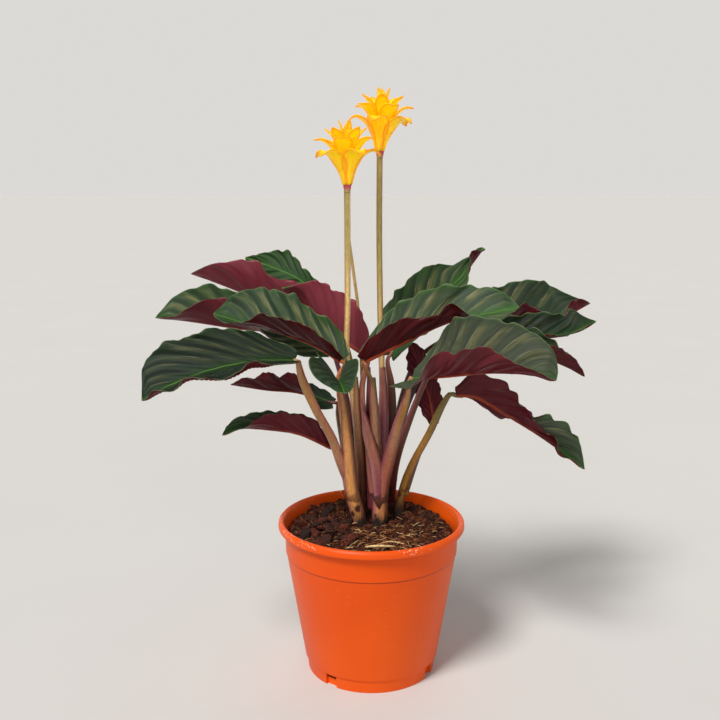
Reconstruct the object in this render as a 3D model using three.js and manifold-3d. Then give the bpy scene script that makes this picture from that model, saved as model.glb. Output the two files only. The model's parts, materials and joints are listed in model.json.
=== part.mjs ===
// Eternal flame calathea in its nursery pot. Millimetres, +Z up, origin at the centre of the
// pot's underside, -Y is the front. Every leaf is one thin blade on its own rib; the leaf stalks
// that share a sheath are one shoot, and stand in plain holes in the soil.
import * as THREE from 'three';
import { mergeVertices } from 'three/addons/utils/BufferGeometryUtils.js';
import Module from 'manifold-3d';

const wasm = await Module();
wasm.setup();

// ---- driving dimensions -------------------------------------------------------------------
const RIM_RADIUS = 65;             // a 13 cm nursery pot, over its rim
const POT_HEIGHT = 108.6;
const RIM_HEIGHT = 5.6;            // depth of the turned-out rim
const RIM_OVERHANG = 4.6;          // how far the rim stands out from the wall
const WALL = 1.6;
const FOOT_RADIUS = 45.5;
const FOOT_HEIGHT = 9;
const FOOT_STEP = 0.7;             // the foot is this much slimmer than the wall above it
const SHOULDER_HEIGHT = 85.6;      // thin moulded line round the wall
const SHOULDER_RADIUS = 59.4;
const PAD_RADIUS = 18;             // the flat middle of the underside, level with the foot's edge
const CHANNEL_RADIUS = 38;         // the drainage channel under the floor runs out to here
const FLOOR_RAISE = 2.6;           // and is this deep
const FLOOR_THICKNESS = 2;
const NOTCH = { width: 9, height: 8, depth: 8, angles: [-127, -28, 62, 152] };   // drain notches
const POT_SEGMENTS = 36;

const SOIL_LEVEL = 94;             // mean height of the soil's surface
const SOIL_DEPTH_OF_ROOTS = 70;    // the shoots end here, well under the surface
const CLEARANCE = 0.35;            // between the soil and what stands in it or round it
const SOIL_RINGS = 5;

const BLADE_THICKNESS = 0.8;
const RIB_DEPTH = 1.3;             // how far the rib stands out under the blade, at its base
const BLADE_GAP = 1.5;             // from the end of a leaf's stalk to its blade
const STALK_RINGS = 9;
const STALK_TURN = 3.5;            // the last of a leaf's stalk turns into the line of the rib
const BLADE_ROWS = 13;
const TILT_SPAN = [0.08, 0.97];    // the ends of a blade take the tilt of the surface here
const BLADE_STATIONS = [-1, -0.62, -0.22, 0, 0.22, 0.62, 1];

const GREEN = 0x3b5340;
const LEAF_STALK = 0x9a6548;
const FLOWER_STALK = 0xb98f4e;
const FLAME = 0xffa512;
const TERRACOTTA = 0xd8501f;
const PEAT = 0x3a2318;

// ---- geometry helpers ---------------------------------------------------------------------
const radians = THREE.MathUtils.degToRad;
const vector = (point) => new THREE.Vector3(...point);
const smoothCurve = (points) => new THREE.CatmullRomCurve3(points.map(vector), false, 'centripetal');

// A list of values spread evenly over 0..1, read at t on a smooth line through them.
function along(values, t) {
  const last = values.length - 1;
  const place = Math.min(Math.max(t, 0), 1) * last;
  const index = Math.min(Math.floor(place), last - 1);
  const u = place - index;
  const [a, b, c, d] = [index - 1, index, index + 1, index + 2]
    .map((i) => values[Math.min(Math.max(i, 0), last)]);
  return b + 0.5 * u * (c - a + u * (2 * a - 5 * b + 4 * c - d + u * (3 * (b - c) + d - a)));
}

function toSolid(geometry) {
  const bare = geometry.clone();
  bare.deleteAttribute('normal');
  bare.deleteAttribute('uv');
  const merged = mergeVertices(bare, 1e-4);
  return new wasm.Manifold(new wasm.Mesh({
    numProp: 3,
    vertProperties: new Float32Array(merged.attributes.position.array),
    triVerts: new Uint32Array(merged.index.array),
  }));
}

function toGeometry(solid) {
  const mesh = solid.getMesh();
  const geometry = new THREE.BufferGeometry();
  geometry.setAttribute('position', new THREE.BufferAttribute(mesh.vertProperties, 3));
  geometry.setIndex(new THREE.BufferAttribute(mesh.triVerts, 1));
  return geometry;
}

const fuse = (geometries) => toGeometry(geometries.map(toSolid).reduce((sum, next) => sum.add(next)));

// A stalk: a cylinder bent along a smooth curve, its radius read from a list. A leaf's stalk runs
// on into the line of its rib and ends just short of the blade. Extra is added all round.
function stalkGeometry(stalk, extra = 0) {
  const { path, radii, leaf, turn = STALK_TURN, sides = 8, rings = STALK_RINGS } = stalk;
  const points = path.map(vector);
  if (leaf) {
    const [base, next] = leaves[leaf].rib.map(vector);
    const back = base.clone().sub(next).normalize();
    points.push(base.clone().addScaledVector(back, turn), base.addScaledVector(back, BLADE_GAP));
  }
  const curve = new THREE.CatmullRomCurve3(points, false, 'centripetal');
  const frames = curve.computeFrenetFrames(rings, false);
  const geometry = new THREE.CylinderGeometry(1, 1, 1, sides, rings);
  const position = geometry.attributes.position;
  const point = new THREE.Vector3();
  for (let i = 0; i < position.count; i += 1) {
    const t = position.getY(i) + 0.5;
    const ring = Math.round(t * rings);
    const radius = along(radii, t) + extra;
    const end = ring === 0 ? -extra : 0;
    curve.getPointAt(t, point);
    point.addScaledVector(frames.normals[ring], position.getX(i) * radius);
    point.addScaledVector(frames.binormals[ring], -position.getZ(i) * radius);
    point.addScaledVector(frames.tangents[ring], end);
    position.setXYZ(i, point.x, point.y, point.z);
  }
  return geometry;
}

// Share of the half width along the rib: rounded at the base, oblong, then drawn in to a tip.
// A low fullness squares the ends, and a high peak moves the widest place to the tip.
function outline(t, base, fullness, peak) {
  const body = Math.sin(Math.PI * t ** peak) ** fullness * (1 - 0.12 * t ** 6);
  return Math.max(Math.cbrt((base * (1 - t) ** 3) ** 3 + body ** 3), 0.055);
}

// The middle surface of a blade. t runs from the base to the tip, s from the left margin (-1)
// over the rib (0) to the right margin (1), left and right as seen along the rib. Each half
// lifts off the level by its own angles, given from base to tip, and flattens at the very tip.
// A shape list makes a half wider or narrower than the outline, and a twist list turns the whole
// blade on its rib. The margin is waved: how many waves, how high, and where they start.
function bladeSurface(blade) {
  const { rib, up = [0, 0, 1], twist = [0, 0], left, right } = blade;
  const { lobe = 3, base = 0.3, fullness = 0.52, peak = 0.9 } = blade;
  const curve = smoothCurve(rib);
  const upward = vector(up).normalize();
  return (t, s) => {
    const half = s < 0 ? left : right;
    const side = Math.sign(s);
    const reach = Math.abs(s);
    const tangent = curve.getTangentAt(t);
    const turned = radians(along(twist, t));
    const across = tangent.clone().cross(upward).normalize().applyAxisAngle(tangent, turned);
    const outward = across.clone().cross(tangent);
    const lift = along(half.lift, t) * Math.min(1, (1 - t) * 9 + 0.3);
    const angle = radians(lift + (half.cup ?? 18) * (reach - 1));
    const [waves, waveHeight, waveStart] = half.wave ?? [0, 0, 0];
    const phase = 2 * Math.PI * (waves * t + waveStart);
    const ripple = waveHeight * Math.sin(phase) * reach ** 2 * Math.sin(Math.PI * t) ** 0.5;
    const scallop = 0.5 * waveHeight * Math.cos(phase) * reach ** 3 * Math.sin(Math.PI * t);
    const full = half.width * outline(t, base, fullness, peak) * along(half.shape ?? [1, 1], t);
    const width = full * reach + scallop;
    const sweep = Math.sin((Math.PI / 2) * reach) ** 1.5 * Math.max(0, 1 - t / 0.25) ** 2;
    return curve.getPointAt(t)
      .addScaledVector(across, side * (Math.cos(angle) * width - Math.sin(angle) * ripple))
      .addScaledVector(outward, Math.sin(angle) * width + Math.cos(angle) * ripple)
      .addScaledVector(tangent, -(half.lobe ?? lobe) * sweep);
  };
}

// A closed blade: its middle surface, moved up for the upper face and down for the lower one,
// further down along the rib. Its ends take the tilt of the surface a little way in, so that
// the swept-back corners and the narrow tip don't turn through themselves.
function bladeGeometry(blade, rows = BLADE_ROWS, stations = BLADE_STATIONS, thickness = BLADE_THICKNESS) {
  const surface = bladeSurface(blade);
  const ribDepth = blade.ribDepth ?? RIB_DEPTH;
  const columns = stations.length - 1;
  const step = 1e-3;
  const upper = [];
  const lower = [];
  for (let row = 0; row <= rows; row += 1) {
    const t = row / rows;
    const inner = Math.min(Math.max(t, TILT_SPAN[0]), TILT_SPAN[1]);
    for (const s of stations) {
      const point = surface(t, s);
      const acrossStep = surface(inner, Math.min(s + step, 1)).sub(surface(inner, Math.max(s - step, -1)));
      const alongStep = surface(inner + step, s).sub(surface(inner - step, s));
      const normal = acrossStep.cross(alongStep).normalize();
      const below = thickness / 2 + (s === 0 ? ribDepth * (1 - 0.9 * t) : 0);
      upper.push(...point.clone().addScaledVector(normal, thickness / 2).toArray());
      lower.push(...point.addScaledVector(normal, -below).toArray());
    }
  }
  const count = upper.length / 3;
  const at = (row, column) => row * (columns + 1) + column;
  const index = [];
  for (let row = 0; row < rows; row += 1) {
    for (let column = 0; column < columns; column += 1) {
      const [a, b] = [at(row, column), at(row, column + 1)];
      const [d, c] = [at(row + 1, column), at(row + 1, column + 1)];
      index.push(a, b, c, a, c, d);
      index.push(count + a, count + c, count + b, count + a, count + d, count + c);
    }
  }
  const rim = [];
  for (let column = 0; column < columns; column += 1) rim.push(at(0, column));
  for (let row = 0; row < rows; row += 1) rim.push(at(row, columns));
  for (let column = columns; column > 0; column -= 1) rim.push(at(rows, column));
  for (let row = rows; row > 0; row -= 1) rim.push(at(row, 0));
  rim.forEach((p, i) => {
    const q = rim[(i + 1) % rim.length];
    index.push(q, p, count + p, q, count + p, count + q);
  });
  const geometry = new THREE.BufferGeometry();
  geometry.setAttribute('position', new THREE.Float32BufferAttribute([...upper, ...lower], 3));
  geometry.setIndex(index);
  return geometry;
}

// ---- pot ----------------------------------------------------------------------------------
function potGeometry() {
  const wallTop = RIM_RADIUS - RIM_OVERHANG;
  const underRim = POT_HEIGHT - RIM_HEIGHT;
  const floorTop = FLOOR_RAISE + FLOOR_THICKNESS;
  const profile = [
    [0, 0], [PAD_RADIUS, 0], [PAD_RADIUS + 2, FLOOR_RAISE], [CHANNEL_RADIUS, FLOOR_RAISE],
    [CHANNEL_RADIUS + 2.5, 0], [FOOT_RADIUS - FOOT_STEP, 0],
    [FOOT_RADIUS, FOOT_HEIGHT], [FOOT_RADIUS + FOOT_STEP * 2, FOOT_HEIGHT + 0.6],
    [SHOULDER_RADIUS, SHOULDER_HEIGHT - 0.5], [SHOULDER_RADIUS + 0.8, SHOULDER_HEIGHT + 0.5],
    [wallTop, underRim], [RIM_RADIUS - 0.8, underRim], [RIM_RADIUS, underRim + 0.9],
    [RIM_RADIUS, POT_HEIGHT - 1.2], [RIM_RADIUS - 1.2, POT_HEIGHT], [RIM_RADIUS - 2.6, POT_HEIGHT],
    [RIM_RADIUS - 3.6, POT_HEIGHT - 1], [wallTop - WALL, underRim - 2],
    [SHOULDER_RADIUS - WALL, SHOULDER_HEIGHT - 2], [FOOT_RADIUS - WALL, floorTop + 1],
    [FOOT_RADIUS - WALL - 1.5, floorTop], [PAD_RADIUS + 1, floorTop],
    [PAD_RADIUS - 1, FLOOR_THICKNESS], [0, FLOOR_THICKNESS],
  ];
  const lathe = new THREE.LatheGeometry(profile.map(([r, z]) => new THREE.Vector2(r, z)), POT_SEGMENTS);
  lathe.rotateX(Math.PI / 2);
  let pot = toSolid(lathe);
  for (const angle of NOTCH.angles) {
    const notch = new THREE.BoxGeometry(NOTCH.depth, NOTCH.width, 2 * NOTCH.height);
    notch.translate(FOOT_RADIUS + 1, 0, 0);
    notch.rotateZ(radians(angle));
    pot = pot.subtract(toSolid(notch));
  }
  return toGeometry(pot);
}

// ---- soil ---------------------------------------------------------------------------------
// Lumpy peat and bark that rises to the back, heaped a little at the back left.
function soilHeight(x, y) {
  const lumps = 1.1 * Math.sin(x * 0.31 + 0.7) * Math.cos(y * 0.27 - 0.4)
    + 0.8 * Math.sin(x * 0.53 - y * 0.44) + 0.5 * Math.sin(x * 0.9 + y * 0.8 + 1);
  const heap = 6 * Math.exp(-((x + 32) ** 2 + (y - 16) ** 2) / 330);
  const rise = 4.5 * Math.max(0, y / SHOULDER_RADIUS) ** 1.4;
  return SOIL_LEVEL + lumps + heap + rise;
}

function soilGeometry(stalks) {
  const bottom = FLOOR_RAISE + FLOOR_THICKNESS + CLEARANCE;
  const edge = SHOULDER_RADIUS - WALL - CLEARANCE;
  const profile = [
    [0, bottom], [FOOT_RADIUS - WALL - 2 - CLEARANCE, bottom],
    [edge, SHOULDER_HEIGHT - 2], [edge, SOIL_LEVEL - 3],
  ];
  for (let ring = SOIL_RINGS; ring >= 0; ring -= 1) {
    profile.push([(edge - 1.5) * (ring / SOIL_RINGS), SOIL_LEVEL]);
  }
  const lathe = new THREE.LatheGeometry(profile.map(([r, z]) => new THREE.Vector2(r, z)), POT_SEGMENTS);
  lathe.rotateX(Math.PI / 2);
  const position = lathe.attributes.position;
  for (let i = 0; i < position.count; i += 1) {
    if (position.getZ(i) > SOIL_LEVEL - 1) {
      position.setZ(i, soilHeight(position.getX(i), position.getY(i)));
    }
  }
  const holes = stalks.map((stalk) => toSolid(stalkGeometry(stalk, CLEARANCE)));
  return toGeometry(holes.reduce((soil, hole) => soil.subtract(hole), toSolid(lathe)));
}

// ---- shoots: leaf stalks that share a sheath ----------------------------------------------
const rootAt = (x, y) => [[x, y, SOIL_DEPTH_OF_ROOTS], [x, y, SOIL_LEVEL + 2]];

const shoots = {
  shoot_left: [
    { leaf: 'leaf_small', path: [...rootAt(-9, 13), [-14, 11, 125], [-17, 6, 163], [-20, -6, 196]],
      radii: [5.3, 5.3, 5.2, 4.2, 2.4], sides: 12 },
    { leaf: 'leaf_left_low', path: [[-15, 12, 128], [-21, 8, 144], [-27, 2, 164], [-38, -12, 192]],
      radii: [3.6, 3.4, 3.2, 3, 2.4], turn: 2.6 },
    { leaf: 'leaf_left_front', path: [[-16, 11, 139], [-19, 8, 170], [-22, 2, 197], [-22, -4, 210]],
      radii: [3.4, 2.6, 2.1, 2] },
  ],
  shoot_middle: [
    { leaf: 'leaf_right_front',
      path: [...rootAt(6, 17), [7, 16, 123], [12, 9, 148], [18, -4, 176], [24, -20, 202]],
      radii: [5.7, 5.8, 5.6, 4.8, 4.4, 3.4, 1.8], sides: 12 },
    { leaf: 'leaf_centre', path: [[3, 17, 121], [-1, 16, 149], [-5, 14, 175], [-6.5, 15, 200]],
      radii: [4.6, 3.8, 2.2, 2, 2] },
    { leaf: 'leaf_right_high', path: [[5, 18, 124], [1, 12, 158], [0, 6, 191], [-1, 1, 208]],
      radii: [3.6, 3, 2.7, 2.6, 1.9] },
  ],
  shoot_right: [
    { leaf: 'leaf_right_low', path: [...rootAt(21, 29), [26, 24, 125], [38, 17, 153], [51, 8, 184]],
      radii: [4.6, 4.2, 2.7, 2.7, 2.6, 2.2], sides: 10 },
    { leaf: 'leaf_right_lowest', path: [[24.4, 27, 116], [35.6, 29, 149]], radii: [2.2, 2, 1.6] },
  ],
  shoot_back_left: [
    { leaf: 'leaf_left_long', path: [...rootAt(-13, 33), [-15, 36, 163], [-20, 38, 193]],
      radii: [4.6, 4.2, 2.6, 2.2, 2], sides: 10 },
    { leaf: 'leaf_left_high', path: [[-12, 34, 118], [-12, 48, 161], [-18, 60, 201]],
      radii: [3, 2.4, 2, 1.9] },
    { leaf: 'leaf_left_shaded', path: [[-15, 32, 112], [-20, 27, 150], [-23.6, 19, 178]],
      radii: [3, 2.4, 2.2, 1.9] },
    { leaf: 'leaf_left_lowest', path: [[-15, 31, 106], [-21, 25, 138]], radii: [3, 2.6, 2.2, 1.9] },
    { leaf: 'leaf_back_left', path: [[-11, 36, 116], [-10, 60, 165], [-20, 74, 220]],
      radii: [3, 2.4, 2, 1.8] },
  ],
  shoot_back_right: [
    { leaf: 'leaf_right_upright', path: [...rootAt(13, 41), [14.4, 40, 155], [14, 34, 194]],
      radii: [4.8, 4.6, 4.2, 3.4, 2], sides: 10 },
    { leaf: 'leaf_right_back', path: [[14, 43, 118], [18, 44, 153], [22, 46, 183], [34, 50, 212]],
      radii: [3.2, 2.4, 2.2, 2, 1.8] },
    { leaf: 'leaf_right_shaded', path: [[15, 40, 116], [20, 37, 154], [27, 33, 185], [40, 29.6, 209]],
      radii: [3, 2.4, 2.2, 2, 1.8] },
    { leaf: 'leaf_right_middle', path: [[14, 39, 108], [19, 27, 146], [28, 20, 177], [37, 12, 203]],
      radii: [3.4, 2.8, 2.8, 2.4, 1.9] },
  ],
};

const flowerStalks = {
  flower_stalk_left: [
    { path: [...rootAt(-7, 24.6), [-8, 24.6, 130], [-12.6, 17, 185], [-17, 8, 222],
      [-16.2, -1, 262], [-16, -12, 336]],
      radii: [1.9, 1.9, 1.7, 1.6], rings: 14 },
    { path: [[-7, 26, 112], [-6.4, 36, 170], [-9, 32, 244], [-13, 14, 282], [-16, -7.6, 308]],
      radii: [1.6, 1.3, 1.2, 1.1], sides: 6, rings: 12 },
  ],
  flower_stalk_right: [
    { path: [...rootAt(3.6, 30), [6.6, 28, 150], [7.4, 22, 188], [6, 18, 246], [5, 14, 301], [5, 10, 358]],
      radii: [2.2, 2.1, 1.9, 1.8], rings: 14 },
  ],
};

// ---- leaves -------------------------------------------------------------------------------
// Ribs run from the base of the blade to its tip. Widths are half widths in millimetres, lifts
// are degrees from the level, from base to tip.
const leaves = {
  leaf_left_low: {
    rib: [[-50, -24, 225], [-75, -33, 226], [-101, -40, 222], [-125, -46, 214], [-145, -50, 204]],
    right: {
      width: 30, lift: [40, 50, 54, 56, 46], wave: [4, 1.5, 0.2],
      shape: [0.8, 0.76, 0.78, 0.84, 0.9, 0.94, 0.96, 1.04, 1.2, 1.35, 1.6],
    },
    left: { width: 19, lift: [0, 2, 2, 10, -6, -12, 4, 12, -4, 16, 0] },
    lobe: 3, fullness: 0.4,
  },
  leaf_left_long: {
    rib: [[-33, 38, 222], [-64, 38, 233], [-97, 38, 237], [-129, 36, 242], [-154, 34, 245]],
    right: {
      width: 26, lift: [30, 56, 66, 60], wave: [4, 1.5, 0.1],
      shape: [1, 1, 1, 1, 1, 1, 1.1, 1.3, 1.42, 1.5, 1.6],
    },
    left: {
      width: 21, lift: [-45, -42, -32, -10, 20, 52, 66, 64, 46, 16, 10],
      shape: [1, 1, 1, 1, 1, 1, 1.15, 1.18, 1.2, 1, 1],
    },
    lobe: 4,
  },
  leaf_left_front: {
    rib: [[-21, -9, 222], [-38, -3, 231], [-66, 3, 240], [-84, 6, 244], [-108, 8, 251]],
    right: {
      width: 27, lift: [40, 62, 64, 60], wave: [3, 1, 0.5],
      shape: [1, 1, 0.9, 0.86, 0.92, 1, 1.08, 1.26, 1.34, 1.42, 1.8],
    },
    left: { width: 22, lift: [45, 44, 42, 34, 6, -12] },
    lobe: 2,
  },
  leaf_left_high: {
    rib: [[-31, 67, 228], [-61, 68, 247], [-88, 68, 256], [-114, 68, 266], [-134, 68, 273]],
    right: { width: 16, lift: [60, 75, 78, 60] },
    left: {
      width: 23, lift: [50, 64, 70, 50], wave: [3, 1.6, 0.2],
      shape: [1, 1, 1, 1, 0.95, 0.95, 1.25, 1.28, 1.3, 1.3, 1.2],
    },
    lobe: 3,
  },
  leaf_back_left: {
    rib: [[-38, 78, 248], [-54, 85, 266], [-74, 91, 275], [-97, 94, 283]],
    right: {
      width: 17, lift: [20, 25, 20], shape: [0.8, 0.8, 0.75, 0.65, 0.6, 0.78, 0.95, 0.92, 0.8, 0.7, 0.6],
    },
    left: { width: 18, lift: [0, 5, 0] },
    up: [-0.1, -0.7, 0.7], lobe: 2, fullness: 0.7, peak: 1.15,
  },
  leaf_centre: {
    rib: [[-5.4, 16, 222], [-19, 18, 231], [-34, 24, 243], [-51, 32, 256], [-63, 38, 266]],
    right: { width: 19, lift: [66, 70, 70, 60] },
    left: {
      width: 26, lift: [80, 84, 84, 70, 20], wave: [2, 1, 0.1],
      shape: [0.8, 1, 1.12, 1.1, 1.05, 1.05, 1.05, 1.12, 1.15, 1.1, 1],
    },
    lobe: 3,
  },
  leaf_left_shaded: {
    rib: [[-27.6, 13.6, 188.4], [-52, 16, 195], [-73, 14, 197], [-98, 12, 201]],
    right: { width: 15, lift: [20, 60, 66, 60] },
    left: { width: 15, lift: [-50, 46, 56, 50], wave: [3, 1.8, 0.5] },
    lobe: 2,
  },
  leaf_left_lowest: {
    rib: [[-29, 12.4, 156], [-51, 8, 167], [-72, 4, 171], [-91, 2, 172], [-103, 0, 168]],
    right: { width: 13, lift: [60, 72, 72, 50] },
    left: { width: 16, lift: [50, 66, 66, 30, 0], wave: [3, 1.4, 0.3] },
    lobe: 3,
  },
  leaf_small: {
    rib: [[-22.6, -13, 208], [-20.5, -25, 210], [-17.5, -38, 206]],
    right: {
      width: 25, lift: [56, 42, 30, 20], cup: -12, wave: [1, 0.6, 0], shape: [1, 1, 1.05, 1.05, 1, 0.8],
    },
    left: {
      width: 19, lift: [70, 56, 42, 16], cup: 0, wave: [1, 0.6, 0.5], shape: [1, 1, 1, 0.85, 0.7, 0.8],
    },
    lobe: 0, base: 0.98,
  },
  leaf_right_high: {
    rib: [[-4, -4.2, 221], [21, -8, 234], [49, -12, 248], [74, -14, 254], [96, -16, 259]],
    left: {
      width: 27, lift: [55, 70, 72, 60], wave: [3, 1, 0.4],
      shape: [1, 1, 1, 1, 0.97, 0.94, 0.92, 0.95, 1.02, 1.1, 1.4],
    },
    right: {
      width: 22, lift: [60, 62, 64, 56, 50, 44, 64, 8, -4, -14, -20], wave: [3, 1, 0.15],
      shape: [1, 1, 0.95, 0.9, 0.76, 0.54, 0.62, 0.9, 1, 1, 1],
    },
    lobe: 3,
  },
  leaf_right_upright: {
    rib: [[13, 25, 220], [24, 34, 238], [42, 46, 254], [60, 57, 267], [72, 64, 279], [82, 68, 292]],
    left: {
      width: 24, lift: [10, 12, 10, 30], wave: [3, 1.4, 0.4],
      shape: [1, 1, 1, 1, 1, 1, 1, 0.95, 0.64, 0.26, 0.4],
    },
    right: { width: 20, lift: [20, 20, 10, 30], shape: [1, 1, 1, 1, 1, 0.9, 0.8, 0.66, 0.5, 0.8, 0.6] },
    twist: [0, 0, 0, 0, 0, 0, 0, 0, 20, 110, 150], up: [-0.35, -0.9, 0.5], lobe: 4,
  },
  leaf_right_back: {
    rib: [[57, 52, 227], [94, 56, 234], [121, 62, 238], [143, 66, 242], [162, 70, 251]],
    left: {
      width: 27, lift: [50, 70, 72, 50], wave: [3, 1, 0.3],
      shape: [1, 1, 1.05, 1.1, 1.15, 1.2, 1.22, 1.3, 1.42, 1.1, 0.8],
    },
    right: {
      width: 20, lift: [20, 25, 36, 42, 44, 50, 34, 12, 8, 40, 20], wave: [3, 1, 0.7],
      shape: [1, 1, 1, 1, 1, 1, 1, 1, 1, 0.7, 0.8],
    },
    twist: [0, 0, 0, 0, 0, 0, 0, 0, 0, 30, 80], lobe: 3,
  },
  leaf_right_shaded: {
    rib: [[65.6, 26, 222.2], [97, 28, 229], [126, 32, 232], [145, 36, 235], [160, 40, 242]],
    left: {
      width: 18, lift: [60, 84, 84, 60], wave: [3, 1.4, 0.2], shape: [1, 1, 1, 1, 1, 1, 1, 1, 1.1, 1.7, 1],
    },
    right: { width: 10, lift: [0, 15, 15, 10], wave: [3, 1.4, 0.6] },
    lobe: 2,
  },
  leaf_right_front: {
    rib: [[26, -21, 212.6], [50, -34, 217], [75, -48, 222], [98, -60, 223], [112, -66, 221]],
    left: {
      width: 32, lift: [40, 70, 82, 76, 60], wave: [3, 1, 0.1], lobe: 0,
      shape: [0.8, 1, 1.1, 1.16, 1.16, 1.14, 1.08, 1.13, 1.23, 1.32, 1.8],
    },
    right: { width: 23, lift: [38, 24, 40, 48, 48, 50, 48, 46, 40, 26, 10], wave: [3, 2, 0.35], lobe: 6 },
  },
  leaf_right_middle: {
    rib: [[44.6, 5.6, 214.6], [74, 6, 224], [106, 8, 225], [131, 12, 216], [148, 15, 207]],
    left: {
      width: 24, lift: [60, 80, 86, 70], wave: [3, 1, 0.3],
      shape: [1, 1, 1, 0.9, 0.8, 0.7, 0.7, 0.65, 0.6, 0.6, 0.8],
    },
    right: { width: 16, lift: [20, 30, 50, 44], wave: [3, 1.2, 0.55] },
    lobe: 3,
  },
  leaf_right_low: {
    rib: [[58, 4, 196], [71, 2, 195], [88, -2, 186], [115, -8, 170], [144, -14, 149]],
    left: {
      width: 19, lift: [-20, -30, -40, -34, -14, 26, 60, 66, 62, 56, 46],
      shape: [0.5, 0.5, 0.55, 0.6, 0.58, 0.5, 0.76, 1.06, 1.15, 1.25, 1.4],
    },
    right: {
      width: 20, lift: [70, 84, 86, 84, 76, 60, 76, 70, -10, 10, -20],
      shape: [1, 1.3, 1.12, 0.98, 0.75, 0.58, 0.3, 0.34, 0.5, 0.6, 0.5],
    },
    lobe: 1,
  },
  leaf_right_lowest: {
    rib: [[45, 31, 170], [42, 34, 187], [36, 42, 206], [29, 50, 224]],
    left: { width: 12, lift: [-30, -30, -10], cup: 3 },
    right: { width: 12, lift: [20, 20, 10], cup: 3, wave: [1, 1.2, 0] },
    up: [0, 1, 0.4], lobe: 2,
  },
};

// ---- flower heads -------------------------------------------------------------------------
// Tiers of pointed bracts round one axis: how many, where the first stands, half width, and the
// bract's line as [radius, height] points.
const tiers = [
  { count: 5, first: 10, width: 7.6, rows: 4,
    line: [[3, 1], [6.8, 12], [11.6, 19], [17.6, 21.8], [22.5, 18.8]] },
  { count: 5, first: 46, width: 6.2, rows: 4,
    line: [[5.8, 14], [7.6, 20], [10.8, 25.5], [15.6, 29], [21, 29.4]] },
  { count: 5, first: 20, width: 4.8, rows: 3, line: [[4.8, 18.6], [6, 25], [9, 31.4], [14.2, 36.6]] },
  { count: 3, first: 70, width: 3.4, rows: 3, line: [[2.4, 19], [2.8, 27], [3.2, 36], [4.4, 41.5]] },
];
const HEART = { bottom: 3.1, top: 7.6, height: 20 };    // the solid middle the bracts grow from

function flowerGeometry(turn) {
  const heart = new THREE.CylinderGeometry(HEART.top, HEART.bottom, HEART.height, 10);
  heart.rotateX(Math.PI / 2);
  heart.translate(0, 0, HEART.height / 2);
  const pieces = [heart];
  for (const { count, first, width, rows, line } of tiers) {
    for (let i = 0; i < count; i += 1) {
      const angle = radians(first + turn + (360 * i) / count);
      const [c, s] = [Math.cos(angle), Math.sin(angle)];
      const half = { width, lift: [34, 16, 10], cup: 10 };
      pieces.push(bladeGeometry({
        rib: line.map(([r, z]) => [r * c, r * s, z]), up: [-0.6 * c, -0.6 * s, 0.8],
        left: half, right: half, lobe: 0, base: 0.3, ribDepth: 0, fullness: 0.85, peak: 1.3,
      }, rows, [-1, 0, 1], 0.9));
    }
  }
  return fuse(pieces);
}

const flowers = {
  flower_left: { base: [-16, -12, 336.6], tilt: [0, -1.5], turn: 0 },
  flower_right: { base: [5.1, 10, 358.6], tilt: [0, 3], turn: 31 },
};

// ---- assembly -----------------------------------------------------------------------------
const plant = new THREE.Group();

function addPart(name, geometry, color, roughness) {
  const mesh = new THREE.Mesh(geometry, new THREE.MeshStandardMaterial({ color, roughness, metalness: 0 }));
  mesh.name = name;
  plant.add(mesh);
  return mesh;
}

addPart('pot', potGeometry(), TERRACOTTA, 0.42);
const standing = [...Object.values(shoots), ...Object.values(flowerStalks)].map((stalks) => stalks[0]);
addPart('soil', soilGeometry(standing), PEAT, 0.95);
for (const [name, stalks] of Object.entries(shoots)) {
  addPart(name, fuse(stalks.map((stalk) => stalkGeometry(stalk))), LEAF_STALK, 0.5);
}
for (const [name, stalks] of Object.entries(flowerStalks)) {
  addPart(name, fuse(stalks.map((stalk) => stalkGeometry(stalk))), FLOWER_STALK, 0.5);
}
for (const [name, leaf] of Object.entries(leaves)) {
  addPart(name, bladeGeometry(leaf), GREEN, 0.5);
}
for (const [name, { base, tilt, turn }] of Object.entries(flowers)) {
  const mesh = addPart(name, flowerGeometry(turn), FLAME, 0.45);
  mesh.position.set(...base);
  mesh.rotation.set(radians(tilt[0]), radians(tilt[1]), 0);
}

export default plant;
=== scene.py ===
# %% [markdown]
# # An eternal flame calathea in its nursery pot
# The plant has seventeen broad leaves, green above and burgundy beneath, on five shoots, and two
# tall stalks with flame-coloured heads. It stands in an orange plastic pot of peat and bark.
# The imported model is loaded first: it fixes the size and the place of everything. Each piece made
# below stands where its node stands, with finer folds, curls and sheaths than a solid needs.

import json
import math
import random
from bisect import bisect_right

import bmesh
import bpy
from mathutils import Euler, Matrix, Vector, noise

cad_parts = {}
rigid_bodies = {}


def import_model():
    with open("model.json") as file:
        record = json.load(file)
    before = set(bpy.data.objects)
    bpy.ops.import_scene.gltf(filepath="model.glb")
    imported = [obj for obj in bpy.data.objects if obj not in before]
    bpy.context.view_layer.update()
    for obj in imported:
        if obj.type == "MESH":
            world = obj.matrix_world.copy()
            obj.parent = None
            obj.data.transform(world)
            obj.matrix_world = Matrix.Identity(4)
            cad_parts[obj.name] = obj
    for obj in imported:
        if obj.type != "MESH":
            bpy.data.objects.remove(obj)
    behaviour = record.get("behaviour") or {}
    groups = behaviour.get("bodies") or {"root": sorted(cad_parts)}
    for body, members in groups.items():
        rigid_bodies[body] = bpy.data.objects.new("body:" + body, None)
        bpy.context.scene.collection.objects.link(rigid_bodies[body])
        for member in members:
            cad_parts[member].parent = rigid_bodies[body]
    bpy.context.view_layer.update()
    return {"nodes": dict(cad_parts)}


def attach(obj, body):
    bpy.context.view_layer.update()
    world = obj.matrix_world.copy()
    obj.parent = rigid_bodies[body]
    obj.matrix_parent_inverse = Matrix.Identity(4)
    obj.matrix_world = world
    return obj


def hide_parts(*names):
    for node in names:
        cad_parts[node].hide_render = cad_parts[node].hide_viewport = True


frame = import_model()
MM = 0.001
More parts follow.
